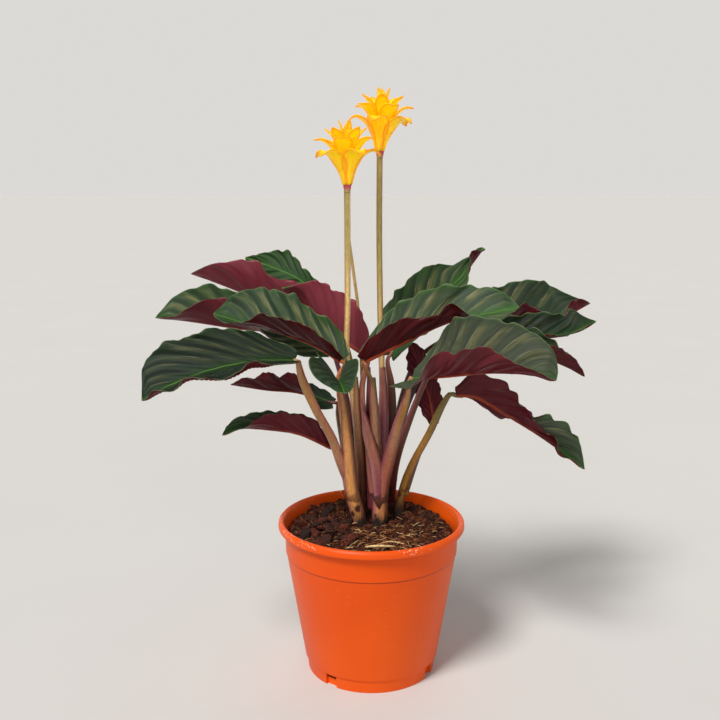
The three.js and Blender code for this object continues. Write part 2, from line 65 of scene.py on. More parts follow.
print("nodes in the frame:", len(frame["nodes"]))


# %% Small helpers
def add_object(name, data):
    """A new object with this data, placed in the scene."""
    thing = bpy.data.objects.new(name, data)
    bpy.context.scene.collection.objects.link(thing)
    return thing


def mesh_data(name, mesh):
    """A bmesh turned into mesh data, which frees the bmesh."""
    data = bpy.data.meshes.new(name)
    mesh.to_mesh(data)
    mesh.free()
    return data


print("scene holds", len(bpy.context.scene.collection.all_objects), "objects so far")

# %% [markdown]
# ## Camera, floor and light
# The plant is seen from a little above its leaves, through a slightly long lens, so that the pot's
# rim shows as a flat ellipse. A pale floor runs out to a pale sky, and both are plain.
# Real studio light for a plant is a big soft box on one side and a weaker one on the other. An area
# lamp would do it too, but it fades with distance. A sun with a wide angle softens shadows as a box
# does, and lights the whole floor alike. The soft sky keeps the shadows among the leaves open.

# %% Camera
CAMERA_PLACE = (0.0003, -0.621, 0.3363)
LENS = 46.5
LOOK_DOWN = 10.55
LOOK_LEFT = 0.76
camera_data = bpy.data.cameras.new("camera")
camera_data.lens = LENS
camera = add_object("camera", camera_data)
camera.location = CAMERA_PLACE
camera.rotation_euler = Euler((math.radians(90 - LOOK_DOWN), 0, math.radians(LOOK_LEFT)))
bpy.context.scene.camera = camera
print("camera at", tuple(round(x, 3) for x in camera.location))


# %% Colours and node helpers
def rgb(red, green, blue):
    """A colour as it looks on a screen, 0 to 255, turned into the linear one that shaders use."""
    def linear(value):
        value = value / 255
        return value / 12.92 if value <= 0.04045 else ((value + 0.055) / 1.055) ** 2.4
    return (linear(red), linear(green), linear(blue), 1)


class Finish:
    """A material and short ways of adding nodes to it."""

    def __init__(self, name, **shader):
        self.material = bpy.data.materials.new(name)
        self.material.use_nodes = True
        self.tree = self.material.node_tree
        self.shader = self.tree.nodes["Principled BSDF"]
        for key, value in shader.items():
            self.shader.inputs[key.replace("_", " ")].default_value = value

    def add(self, kind, inputs=(), **settings):
        """A node of this kind. Inputs are (socket, value or other node's output) pairs."""
        node = self.tree.nodes.new("ShaderNode" + kind)
        for key, value in settings.items():
            setattr(node, key, value)
        for socket, value in inputs:
            if isinstance(value, bpy.types.NodeSocket):
                self.tree.links.new(value, node.inputs[socket])
            else:
                node.inputs[socket].default_value = value
        return node

    def math(self, operation, *values):
        return self.add("Math", list(enumerate(values)), operation=operation).outputs[0]

    def times(self, *values):
        """All the values multiplied together."""
        product = values[0]
        for value in values[1:]:
            product = self.math("MULTIPLY", product, value)
        return product

    def attributes(self, *names, output="Fac"):
        return [self.add("Attribute", attribute_name=name).outputs[output] for name in names]

    def place(self):
        return self.add("TexCoord").outputs["Object"]

    def grid(self, x, y, z=0.0):
        """A place for a texture, made of three numbers."""
        return self.add("CombineXYZ", [("X", x), ("Y", y), ("Z", z)]).outputs[0]

    def noise(self, vector, scale, detail=3.0, roughness=0.5):
        inputs = [("Vector", vector), ("Scale", scale), ("Detail", detail), ("Roughness", roughness)]
        return self.add("TexNoise", inputs).outputs["Fac"]

    def stretched(self, vector, scale):
        return self.add("Mapping", [("Vector", vector), ("Scale", scale)]).outputs[0]

    def fade(self, value, start, end, low=0.0, high=1.0):
        """Low where value is at start, high where it is at end, and smooth between."""
        inputs = [("Value", value), ("From Min", start), ("From Max", end), ("To Min", low),
                  ("To Max", high)]
        return self.add("MapRange", inputs, interpolation_type="SMOOTHSTEP").outputs[0]

    def band(self, value, low, full, until, gone):
        """0 up to low, 1 from full on until the third value, and 0 again from the last."""
        return self.times(self.fade(value, low, full), self.fade(value, gone, until))

    def mix(self, factor, a, b):
        return self.add("Mix", [(0, factor), (6, a), (7, b)], data_type="RGBA").outputs[2]

    def paint(self, colour, mask=None):
        """Lays a colour over the ones before it where the mask is 1, or all over without a mask."""
        self.colour = colour if mask is None else self.mix(mask, self.colour, colour)
        self.set("Base Color", self.colour)

    def set(self, socket, value):
        self.tree.links.new(value, self.shader.inputs[socket])

    def bump(self, height, strength, distance):
        inputs = [("Height", height), ("Strength", strength), ("Distance", distance)]
        self.set("Normal", self.add("Bump", inputs).outputs[0])


print("helpers ready")

# %% Floor and sky
FLOOR_RADIUS = 40
floor_finish = Finish("floor", Roughness=0.95, Specular_IOR_Level=0.1)
floor_tone = floor_finish.noise(floor_finish.place(), 6.0)
floor_finish.paint(floor_finish.mix(floor_tone, rgb(204, 202, 199), rgb(200, 198, 195)))
floor_mesh = bmesh.new()
bmesh.ops.create_circle(floor_mesh, cap_ends=True, radius=FLOOR_RADIUS, segments=64)
floor_data = mesh_data("floor", floor_mesh)
floor_data.materials.append(floor_finish.material)
floor = add_object("floor", floor_data)

HORIZON = 0.715
OVERHEAD = 0.16
sky = bpy.data.worlds.new("sky")
sky.use_nodes = True
sky_nodes, sky_links = sky.node_tree.nodes, sky.node_tree.links
towards = sky_nodes.new("ShaderNodeTexCoord").outputs["Generated"]
climb = sky_nodes.new("ShaderNodeSeparateXYZ")
fall = sky_nodes.new("ShaderNodeMapRange")
fall.interpolation_type = "SMOOTHSTEP"
for socket, value in (("From Min", 0.2), ("From Max", 0.75), ("To Min", HORIZON), ("To Max", OVERHEAD)):
    fall.inputs[socket].default_value = value
sky_links.new(towards, climb.inputs[0])
sky_links.new(climb.outputs["Z"], fall.inputs["Value"])
sky_links.new(fall.outputs[0], sky_nodes["Background"].inputs["Strength"])
sky_nodes["Background"].inputs["Color"].default_value = (1.0, 0.977, 0.95, 1)
bpy.context.scene.world = sky
bpy.context.scene.view_settings.view_transform = "Standard"
print("floor radius:", FLOOR_RADIUS, "m")


# %% Lights
def soft_light(name, bearing, elevation, spread, power, colour):
    """A distant soft box: its bearing counts from the front to the right, all angles in degrees."""
    data = bpy.data.lights.new(name, "SUN")
    data.angle = math.radians(spread)
    data.energy = power
    data.color = colour
    light = add_object(name, data)
    light.rotation_euler = Euler((math.radians(90 - elevation), 0, math.radians(bearing)))


soft_light("key", -34, 52, 18, 3.2, (1.0, 0.985, 0.96))
soft_light("fill", 12, 16, 50, 0.55, (1.0, 0.98, 0.96))
soft_light("back", 170, 50, 40, 0.35, (1.0, 1.0, 1.0))
print("lights: key, fill, back")

# %% [markdown]
# ## Lines, blades and tubes
# A leaf, a bract and a sheath are all thin sheets along a rib, and a stalk is a tube along a line.
# So three helpers make most of the plant: a smooth line through a few points, a blade that is a
# flat grid laid on that line, and a cylinder bent along it. All points are in millimetres.

# %% Smooth lines
def along(values, t):
    """A list of numbers spread evenly over 0..1, read at t on a smooth line through them."""
    last = len(values) - 1
    place = min(max(t, 0), 1) * last
    index = min(int(place), last - 1)
    u = place - index
    a, b, c, d = (values[min(max(i, 0), last)] for i in range(index - 1, index + 3))
    return b + 0.5 * u * (c - a + u * (2 * a - 5 * b + 4 * c - d + u * (3 * (b - c) + d - a)))


def smooth(low, high, value):
    """0 below low, 1 above high, and smooth between."""
    share = min(max((value - low) / (high - low), 0), 1)
    return share * share * (3 - 2 * share)


class Line:
    """A smooth line through a few points, read at an even pace from 0 to 1."""

    STEPS = 24

    def __init__(self, points):
        points = [Vector(p) for p in points]
        ends = [2 * points[0] - points[1], *points, 2 * points[-1] - points[-2]]
        self.points = [points[0]]
        for a, b, c, d in zip(ends, ends[1:], ends[2:], ends[3:]):
            gaps = [max((q - p).length, 1e-6) ** 0.5 for p, q in ((a, b), (b, c), (c, d))]
            start = ((b - a) / gaps[0] - (c - a) / (gaps[0] + gaps[1]) + (c - b) / gaps[1]) * gaps[1]
            end = ((c - b) / gaps[1] - (d - b) / (gaps[1] + gaps[2]) + (d - c) / gaps[2]) * gaps[1]
            for step in range(1, self.STEPS + 1):
                u = step / self.STEPS
                bend = u * (start + u * (3 * (c - b) - 2 * start - end + u * (2 * (b - c) + start + end)))
                self.points.append(b + bend)
        self.lengths = [0.0]
        for p, q in zip(self.points, self.points[1:]):
            self.lengths.append(self.lengths[-1] + (q - p).length)
        self.length = self.lengths[-1]

    def point(self, t):
        goal = min(max(t, 0), 1) * self.length
        index = min(bisect_right(self.lengths, goal), len(self.lengths) - 1)
        low, high = self.lengths[index - 1], self.lengths[index]
        return self.points[index - 1].lerp(self.points[index], (goal - low) / max(high - low, 1e-9))

    def direction(self, t):
        step = 0.004
        return (self.point(t + step) - self.point(t - step)).normalized()


print("a line through three points is", round(Line([(0, 0, 0), (1, 1, 0), (2, 0, 0)]).length, 3), "long")


# %% Finished pieces
def finish_piece(name, mesh, materials, smooth_faces=True):
    """Turns a bmesh in millimetres into a piece of the plant, in metres."""
    bmesh.ops.scale(mesh, vec=(MM, MM, MM), verts=mesh.verts)
    for face in mesh.faces:
        face.smooth = smooth_faces
    data = mesh_data(name, mesh)
    for material in materials:
        data.materials.append(material)
    piece = add_object(name, data)
    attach(piece, "root")
    print(name, len(data.polygons), "faces")
    return piece


# %% [markdown]
# ## The pot
# The pot is blown or moulded in one piece: a thin wall with a turned-out rim, a shallow step at
# the shoulder and a slimmer foot, with drain notches cut at its edge. Its section is drawn once
# as a closed outline and spun round the axis, which is how a turned part is always quickest made.
# The notches are cut with a boolean, and a narrow bevel softens every step of the section.

# %% The pot's section
RIM_RADIUS = 65
POT_HEIGHT = 108.6
RIM_HEIGHT = 5.6
RIM_OVERHANG = 4.6
WALL = 1.6
FOOT_RADIUS = 45.5
FOOT_HEIGHT = 9
FOOT_STEP = 0.7
SHOULDER_HEIGHT = 85.6
SHOULDER_RADIUS = 59.4
PAD_RADIUS = 18
CHANNEL_RADIUS = 38
FLOOR_RAISE = 2.6
FLOOR_THICKNESS = 2
SOIL_LEVEL = 99
POT_STEPS = 160

wall_top = RIM_RADIUS - RIM_OVERHANG
under_rim = POT_HEIGHT - RIM_HEIGHT
floor_top = FLOOR_RAISE + FLOOR_THICKNESS
pot_section = [
    (0, 0), (PAD_RADIUS, 0), (PAD_RADIUS + 2, FLOOR_RAISE), (CHANNEL_RADIUS, FLOOR_RAISE),
    (CHANNEL_RADIUS + 2.5, 0), (FOOT_RADIUS - FOOT_STEP, 0), (FOOT_RADIUS, FOOT_HEIGHT),
    (FOOT_RADIUS + FOOT_STEP * 2, FOOT_HEIGHT + 0.6), (SHOULDER_RADIUS, SHOULDER_HEIGHT - 0.5),
    (SHOULDER_RADIUS + 0.5, SHOULDER_HEIGHT + 0.3), (wall_top, under_rim - 0.3),
    (wall_top + 0.8, under_rim), (RIM_RADIUS - 0.6, under_rim), (RIM_RADIUS, under_rim + 0.9),
    (RIM_RADIUS - 0.2, POT_HEIGHT - 1.6), (RIM_RADIUS - 1.6, POT_HEIGHT),
    (RIM_RADIUS - 2.8, POT_HEIGHT), (RIM_RADIUS - 4, POT_HEIGHT - 1.4),
    (wall_top - WALL, under_rim - 3), (SHOULDER_RADIUS - WALL, SHOULDER_HEIGHT - 2),
    (FOOT_RADIUS - WALL, floor_top + 1), (FOOT_RADIUS - WALL - 1.5, floor_top),
    (PAD_RADIUS + 1, floor_top), (PAD_RADIUS - 1, FLOOR_THICKNESS), (0, FLOOR_THICKNESS),
]
print("the pot's section has", len(pot_section), "corners")

# %% [markdown]
# The plastic is a warm orange with a satin gloss. Handling leaves fine scuffs that run round the
# pot, which a noise squeezed along the height and stretched round the wall gives. It is pale
# where it is scratched and a little duller. The inside wall is a darker red, which is painted
# shade. Dust clings to the rim and the inside, and a dark line marks the shoulder. The colours
# are laid over each other one by one, each where its mask is 1.

# %% Pot plastic
plastic = Finish("pot_plastic", Roughness=0.42, Specular_IOR_Level=0.18)
turn, height, inside = plastic.attributes("turn", "height", "inside")
fade, times, paint = plastic.fade, plastic.times, plastic.paint
scuffs = plastic.noise(plastic.grid(times(turn, 3.0), times(height, 420.0)), 3.2, 6.0, 0.65)
patches = plastic.noise(plastic.place(), 26.0, 3.0)
scuff_mask = times(fade(scuffs, 0.56, 0.74), fade(patches, 0.42, 0.66))
cloudy = plastic.noise(plastic.place(), 9.0, 2.0)
dust = fade(plastic.noise(plastic.place(), 700.0, 2.0, 0.7), 0.58, 0.66)
rim_dust = times(dust, fade(height, 0.1035, 0.107, 0.0, 0.9), fade(patches, 0.42, 0.56))
off_line = plastic.math("ABSOLUTE", plastic.math("SUBTRACT", height, SHOULDER_HEIGHT * MM))
paint(plastic.mix(fade(cloudy, 0.3, 0.7), rgb(214, 74, 6), rgb(226, 86, 8)))
# The inside wall is painted a darker red: painted shade inside the pot.
paint(rgb(152, 30, 8), inside)
paint(rgb(246, 170, 128), times(scuff_mask, 0.28))
paint(rgb(232, 210, 188), plastic.math("MAXIMUM", rim_dust, times(dust, inside, 0.5)))
paint(rgb(120, 34, 8), fade(off_line, 0.0008, 0.0002, 0.0, 0.6))
plastic.set("Roughness", fade(scuff_mask, 0.0, 1.0, 0.4, 0.55))
plastic.bump(plastic.math("ADD", times(scuffs, 0.4), cloudy), 0.12, 0.0004)
print("plastic has", len(plastic.tree.nodes), "nodes")


# %% Spin the pot and cut its notches
def spun(section, steps):
    """A bmesh of this closed section, given from the axis back to the axis, spun round Z."""
    mesh = bmesh.new()
    corners = [mesh.verts.new((radius, 0, z)) for radius, z in section]
    edges = [mesh.edges.new(pair) for pair in zip(corners, corners[1:])]
    bmesh.ops.spin(mesh, geom=corners + edges, cent=(0, 0, 0), axis=(0, 0, 1), dvec=(0, 0, 0),
                   angle=2 * math.pi, steps=steps, use_merge=True, use_duplicate=False)
    bmesh.ops.remove_doubles(mesh, verts=mesh.verts, dist=1e-4)
    bmesh.ops.recalc_face_normals(mesh, faces=mesh.faces)
    return mesh


NOTCH_ANGLES = (-127, -28, 62, 152)
NOTCH_SIZE = (8, 9, 16)
BEVEL = 0.35
pot_mesh = spun(pot_section, POT_STEPS)
ring_edges = [e for e in pot_mesh.edges
              if abs(e.verts[0].co.z - e.verts[1].co.z) < 1e-4
              and abs(e.verts[0].co.xy.length - e.verts[1].co.xy.length) < 1e-3
              and e.calc_face_angle(0) > math.radians(12)]
bmesh.ops.bevel(pot_mesh, geom=ring_edges, offset=BEVEL, offset_type="OFFSET", affect="EDGES",
                segments=2, profile=0.5, material=-1, clamp_overlap=True)
pot = finish_piece("nursery_pot", pot_mesh, [plastic.material])
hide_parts("pot")

for angle in NOTCH_ANGLES:
    cutter_mesh = bmesh.new()
    turned = Matrix.Rotation(math.radians(angle), 4, "Z")
    place = turned @ Matrix.Translation((FOOT_RADIUS + 1, 0, 0)) @ Matrix.Diagonal((*NOTCH_SIZE, 1))
    bmesh.ops.create_cube(cutter_mesh, size=1, matrix=place)
    bmesh.ops.scale(cutter_mesh, vec=(MM, MM, MM), verts=cutter_mesh.verts)
    cutter = add_object("cutter", mesh_data("cutter", cutter_mesh))
    cut = pot.modifiers.new("notch", "BOOLEAN")
    cut.operation = "DIFFERENCE"
    cut.solver = "EXACT"
    cut.object = cutter
    bpy.context.view_layer.update()
    cut_pot = pot.evaluated_get(bpy.context.evaluated_depsgraph_get())
    cut_data = bpy.data.meshes.new_from_object(cut_pot)
    pot.modifiers.clear()
    pot.data = cut_data
    bpy.data.objects.remove(cutter)
print("pot with notches:", len(pot.data.polygons), "faces")

# %% Where each point of the pot is, for its plastic
for name in ("turn", "height", "inside"):
    pot.data.attributes.new(name, "FLOAT", "POINT")
for vertex in pot.data.vertices:
    x, y, z = vertex.co
    radius = math.hypot(x, y) / MM
    wall = FOOT_RADIUS + (wall_top - FOOT_RADIUS) * z / MM / under_rim
    pot.data.attributes["turn"].data[vertex.index].value = math.atan2(abs(x), y)
    pot.data.attributes["height"].data[vertex.index].value = z
    within = radius < wall - 1.2 and z / MM > FOOT_HEIGHT + 2
    pot.data.attributes["inside"].data[vertex.index].value = 1.0 if within else 0.0
pot.data.set_sharp_from_angle(angle=math.radians(35))
print("pot height:", round(max(v.co.z for v in pot.data.vertices) / MM, 1), "mm")

# %% [markdown]
# ## Leaf finishes
# Above, the leaf is dark green, with a pale tan stripe on the crest of each fold between two side
# veins, darker bands in the hollows that are partly painted shade, a bright green margin and a
# hair-thin cream edge. Beneath, it is burgundy with a satin sheen, and its rib is orange. The
# pattern has to follow the veins, so each leaf carries numbers at its points. Three say where a
# point is: which side vein is near, and how far off the margin and the rib are. Five are the same
# all over a leaf: tone (painted light and shade, 0 in the shade, 1 in full light),
# pale_green_and_backlight (a lighter green, partly painted light shining through the leaf), bands
# (how strong the stripes are), grey_bloom_and_sheen (a greyish bloom, partly painted sheen) and
# underside_light (painted light and shade beneath: pale and mauve on lit leaves, dark on shaded
# ones). An image texture would have to be drawn for every leaf instead.

# %% Leaf, upper side: where things are
upper = Finish("leaf_upper", Roughness=0.46, Specular_IOR_Level=0.14)
fade, times, band, mix, paint = upper.fade, upper.times, upper.band, upper.mix, upper.paint
vein, edge, rib, tone = upper.attributes("vein", "edge", "rib", "tone")
pale_green_and_backlight, bands, grey_bloom_and_sheen = upper.attributes("pale_green_and_backlight", "bands", "grey_bloom_and_sheen")
leaf_number, along_vein = times(tone, 37.0), times(rib, 0.06)
streak_place = upper.grid(times(vein, 9.0), along_vein, leaf_number)
streaks = upper.noise(streak_place, 1.6, 5.0, 0.62)
fine = upper.noise(upper.stretched(streak_place, (5.0, 1.6, 1.0)), 2.2, 3.0)
patches = upper.noise(upper.grid(times(vein, 0.9), along_vein, leaf_number), 1.25, 2.0)
cloud = upper.noise(upper.place(), 34.0, 3.0)
wander = upper.math("MULTIPLY_ADD", upper.math("ADD", cloud, streaks), 0.36, -0.36)
in_band = upper.math("FRACT", upper.math("ADD", vein, wander))
print("places are found with", len(upper.tree.nodes), "nodes")

# %% Leaf, upper side: stripes, hollows with painted shade, and hair lines
crest = band(in_band, 0.0, 0.16, 0.14, 0.7)
stripe = times(crest, fade(patches, 0.38, 0.6, 0.1, 0.95), fade(edge, 0.8, 7.0, 0.1, 1.0),
               fade(rib, 1.0, 8.0, 0.05, 1.0), fade(streaks, 0.34, 0.56, 0.25, 1.0), bands)
# Darker bands in the hollows between the pleats: partly the leaf's own dark bands, partly painted shade.
hollow = times(band(in_band, 0.4, 0.8, 0.88, 1.0), fade(streaks, 0.65, 0.35, 0.4, 0.95))
near_line = band(in_band, 0.0, 0.03, 0.05, 0.09)
far_line = band(in_band, 0.4, 0.43, 0.45, 0.48)
hair = times(upper.math("MAXIMUM", near_line, times(far_line, 0.5)),
             fade(streaks, 0.4, 0.6, 0.0, 0.6), fade(patches, 0.44, 0.58), bands)
scratches = times(fade(fine, 0.55, 0.75, 0.0, 0.3), bands)
print("with the masks of the pattern:", len(upper.tree.nodes), "nodes")

# %% Leaf, upper side: colours
tan = mix(tone, rgb(98, 90, 54), rgb(140, 128, 82))
tan = mix(fade(fine, 0.4, 0.65), tan, mix(tone, rgb(72, 82, 54), rgb(112, 124, 86)))
margin_green = mix(tone, rgb(24, 52, 20), rgb(52, 96, 34))
paint(mix(tone, rgb(15, 32, 17), rgb(38, 64, 34)))
# A lighter green, partly painted light shining through the leaf.
paint(rgb(50, 96, 30), pale_green_and_backlight)
paint(mix(tone, rgb(22, 44, 36), rgb(52, 80, 62)), fade(cloud, 0.35, 0.65, 0.0, 0.5))
# Painted shade, with the leaf's own dark bands, in the hollows.
paint(mix(tone, rgb(9, 19, 12), rgb(20, 38, 24)), hollow)
paint(tan, stripe)
paint(mix(tone, rgb(128, 124, 90), rgb(186, 182, 146)), hair)
paint(tan, scratches)
# A greyish bloom, partly painted sheen, strongest on the leaves that look grey.
paint(mix(streaks, rgb(38, 56, 50), rgb(136, 134, 112)), grey_bloom_and_sheen)
paint(margin_green, fade(edge, 3.2, 0.4, 0.0, 0.4))
paint(margin_green, fade(rib, 7.0, 0.8, 0.0, 0.55))
paint(rgb(76, 116, 40), fade(rib, 0.7, 0.25, 0.0, 0.8))
paint(rgb(140, 146, 104), fade(edge, 0.4, 0.12, 0.0, 0.4))
upper.set("Roughness", fade(streaks, 0.3, 0.7, 0.4, 0.56))
upper.bump(upper.math("ADD", streaks, times(fine, 0.6)), 0.35, 0.0005)
print("upper side has", len(upper.tree.nodes), "nodes")

# %% Leaf, underside and edge
lower = Finish("leaf_lower", Roughness=0.36, Specular_IOR_Level=0.17, Sheen_Weight=0.04,
               Sheen_Roughness=0.35, Sheen_Tint=rgb(240, 140, 165))
fade, times, mix, paint = lower.fade, lower.times, lower.mix, lower.paint
vein, rib, tone, underside_light = lower.attributes("vein", "rib", "tone", "underside_light")
cloud = lower.noise(lower.place(), 42.0, 3.0)
streaks = lower.noise(lower.grid(times(vein, 9.0), times(rib, 0.05), tone), 2.4, 4.0, 0.6)
crest = lower.math("COSINE", times(vein, 2 * math.pi))
# The underside's paleness is painted light and shade: pale and mauve on lit leaves, dark on shaded ones.
paint(mix(underside_light, rgb(66, 5, 10), rgb(120, 50, 60)))
paint(mix(underside_light, rgb(48, 3, 7), rgb(104, 34, 44)), fade(crest, 0.2, 1.0, 0.0, 0.35))
paint(mix(underside_light, rgb(46, 3, 8), rgb(112, 36, 48)), fade(cloud, 0.35, 0.7, 0.0, 0.5))
paint(mix(underside_light, rgb(90, 14, 20), rgb(160, 80, 92)), fade(streaks, 0.52, 0.75, 0.0, 0.25))
paint(rgb(150, 58, 26), times(fade(rib, 1.3, 0.8, 0.0, 0.85), fade(vein, 8.0, 4.0, 0.2, 1.0)))
lower.set("Roughness", fade(cloud, 0.3, 0.7, 0.27, 0.4))
lower.bump(lower.math("ADD", streaks, times(crest, 0.4)), 0.35, 0.0005)

margin = Finish("leaf_margin", Roughness=0.5, Specular_IOR_Level=0.3)
margin.paint(margin.mix(margin.noise(margin.place(), 300.0), rgb(46, 62, 32), rgb(104, 108, 72)))
print("underside has", len(lower.tree.nodes), "nodes")

# %% [markdown]
# ## A leaf blade
# A blade is a flat grid laid along its rib. Each half lifts off the level by an angle that
# changes from base to tip, so one half can stand up while the other droops and shows its
# underside. A short list of shares, spread evenly from base to tip, widens or narrows a half, and
# another twists the whole blade on its rib. The margin waves and ripples, and between the side
# veins the blade is pleated. A grid that is bent by a formula is used because every fold can be
# set by hand and none is random. Sculpting would give softer folds, but couldn't be set again.
# A Solidify modifier then gives thickness downwards, and a vertex group makes it thick along
# the rib only, which raises the rib beneath the leaf.

# %% Blade outline
ROWS = 96
COLUMNS = 44
VEINS = 8
VEIN_SWEEP = 0.3
PLEAT = 0.85
RIPPLE = 1.25
PATTERN = dict(tone=0.5, pale_green_and_backlight=0.0, bands=1.0, underside_light=0.3, grey_bloom_and_sheen=0.08)


def outline(t, base, fullness, peak):
    """Share of the half width along the rib: rounded at the base, oblong, drawn in to a tip."""
    body = max(math.sin(math.pi * t ** peak), 0) ** fullness * (1 - 0.12 * t ** 6)
    return max(((base * (1 - t) ** 3) ** 3 + body ** 3) ** (1 / 3), 0.025)


print("half way along its rib a blade has", round(outline(0.5, 0.3, 0.52, 0.9), 2), "of its full width")

# %% Thickness
BLADE_THICKNESS = 0.32
RIB_THICKNESS = 1.9
BLADE_SHARE = BLADE_THICKNESS / RIB_THICKNESS


def thicken(piece, full_thickness, offset=-1.0):
    """Gives a sheet its thickness downwards, full where the group is 1, with its own edge finish."""
    piece.vertex_groups.new(name="thickness")
    shell = piece.modifiers.new("thickness", "SOLIDIFY")
    shell.thickness = full_thickness * MM
    shell.offset = offset
    shell.vertex_group = "thickness"
    shell.thickness_vertex_group = 0
    shell.material_offset = 1
    shell.material_offset_rim = 2
    shell.use_even_offset = False
    shell.use_quality_normals = True


print("a blade is", BLADE_THICKNESS, "mm thick, and", RIB_THICKNESS, "mm along its rib")


# %% Blade helper
def lay_blade(mesh, blade, rows, columns):
    """Adds one blade to a bmesh: a grid bent on its rib. Its points get the pattern's numbers."""
    layers = {name: mesh.verts.layers.float.get(name) or mesh.verts.layers.float.new(name)
              for name in ("vein", "edge", "rib", *PATTERN)}
    groups = mesh.verts.layers.deform.verify()
    line = Line(blade["rib"])
    up = Vector(blade.get("up", (0, 0, 1))).normalized()
    base, fullness, peak = (blade.get(key, usual) for key, usual in
                            (("base", 0.3), ("fullness", 0.52), ("peak", 0.9)))
    made = bmesh.ops.create_grid(mesh, x_segments=columns, y_segments=rows, size=1)["verts"]
    stations = {}
    for vert in made:
        # Where the point is: t along the rib, and s across it.
        t = (vert.co.y + 1) / 2
        s = math.copysign(abs(vert.co.x) ** 1.2, vert.co.x)
        key = round(t, 5)
        if key not in stations:
            tangent = line.direction(t)
            turned = Matrix.Rotation(math.radians(along(blade.get("twist", (0, 0)), t)), 3, tangent)
            across = turned @ tangent.cross(up).normalized()
            stations[key] = (line.point(t), tangent, across, across.cross(tangent))
        point, tangent, across, outward = stations[key]
        half = blade["left"] if s < 0 else blade["right"]
        reach = abs(s)
        side = math.copysign(1, s)
        # How far the half is turned up here, and the wave of its margin.
        lift = along(half["lift"], t) * min(1, (1 - t) * 9 + 0.3)
        angle = math.radians(lift + half.get("cup", 18) * (reach - 1))
        waves, wave_height, wave_start = half.get("wave", (0, 0, 0))
        sweep = blade.get("sweep", VEIN_SWEEP) * (1 - reach)
        phase = 2 * math.pi * (waves * (t + sweep) + wave_start)
        ends = math.sin(math.pi * t) ** 0.5 if 0 < t < 1 else 0
        rise = wave_height * math.sin(phase) * reach ** 1.7 * ends
        scallop = 0.5 * wave_height * math.cos(phase) * reach ** 3 * ends ** 2
        # Pleats between the side veins, and ripples close to the margin.
        vein = VEINS * (t + sweep) + blade.get("vein_start", 0)
        uneven = 0.35 + 1.3 * noise.noise(Vector((vein * 0.8, side * 3, line.length))) ** 2 * 4
        pleat = blade.get("pleat", PLEAT) * uneven * math.sin(math.pi * min(reach, 1)) ** 0.7 * ends
        rise -= pleat * math.cos(2 * math.pi * vein)
        ripple = blade.get("ripple", RIPPLE) * reach ** 5 * ends
        unrest = noise.noise(Vector((vein * 0.9, side * 5, line.length * 0.7)))
        rise += 2.2 * ripple * unrest + 0.3 * ripple * math.sin(4 * math.pi * vein + side)
        # How wide the half is here, and how far its lobe reaches back at the base.
        full = half["width"] * outline(t, base, fullness, peak) * along(half.get("shape", (1, 1)), t)
        frill = 0.8 * ripple * math.cos(2 * math.pi * vein + 0.8) * (0.3 + abs(unrest) * 3)
        width = full * reach + scallop + frill
        lobe = half.get("lobe", blade.get("lobe", 3))
        back = lobe * math.sin(math.pi / 2 * min(reach, 1)) ** 1.5 * max(0, 1 - t / 0.25) ** 2
        vert.co = (point + across * side * (math.cos(angle) * width - math.sin(angle) * rise)
                   + outward * (math.sin(angle) * width + math.cos(angle) * rise) - tangent * back)
        # What the finishes and the thickness read.
        to_end = (1 - t) * line.length * 0.6 + 0.01
        vert[layers["vein"]] = vein + (0.5 if s < 0 else 0)
        vert[layers["edge"]] = min(full * (1 - reach), to_end)
        vert[layers["rib"]] = full * reach
        for name, usual in PATTERN.items():
            vert[layers[name]] = blade.get(name, usual)
        ridge = blade.get("ridge", 1.0) * (1 - 0.8 * t) * math.exp(-(full * reach / 1.1) ** 2)
        vert[groups][0] = min(1, BLADE_SHARE + (1 - BLADE_SHARE) * ridge)
    return made


print("a blade has", (ROWS + 1) * (COLUMNS + 1), "points before it is thickened")
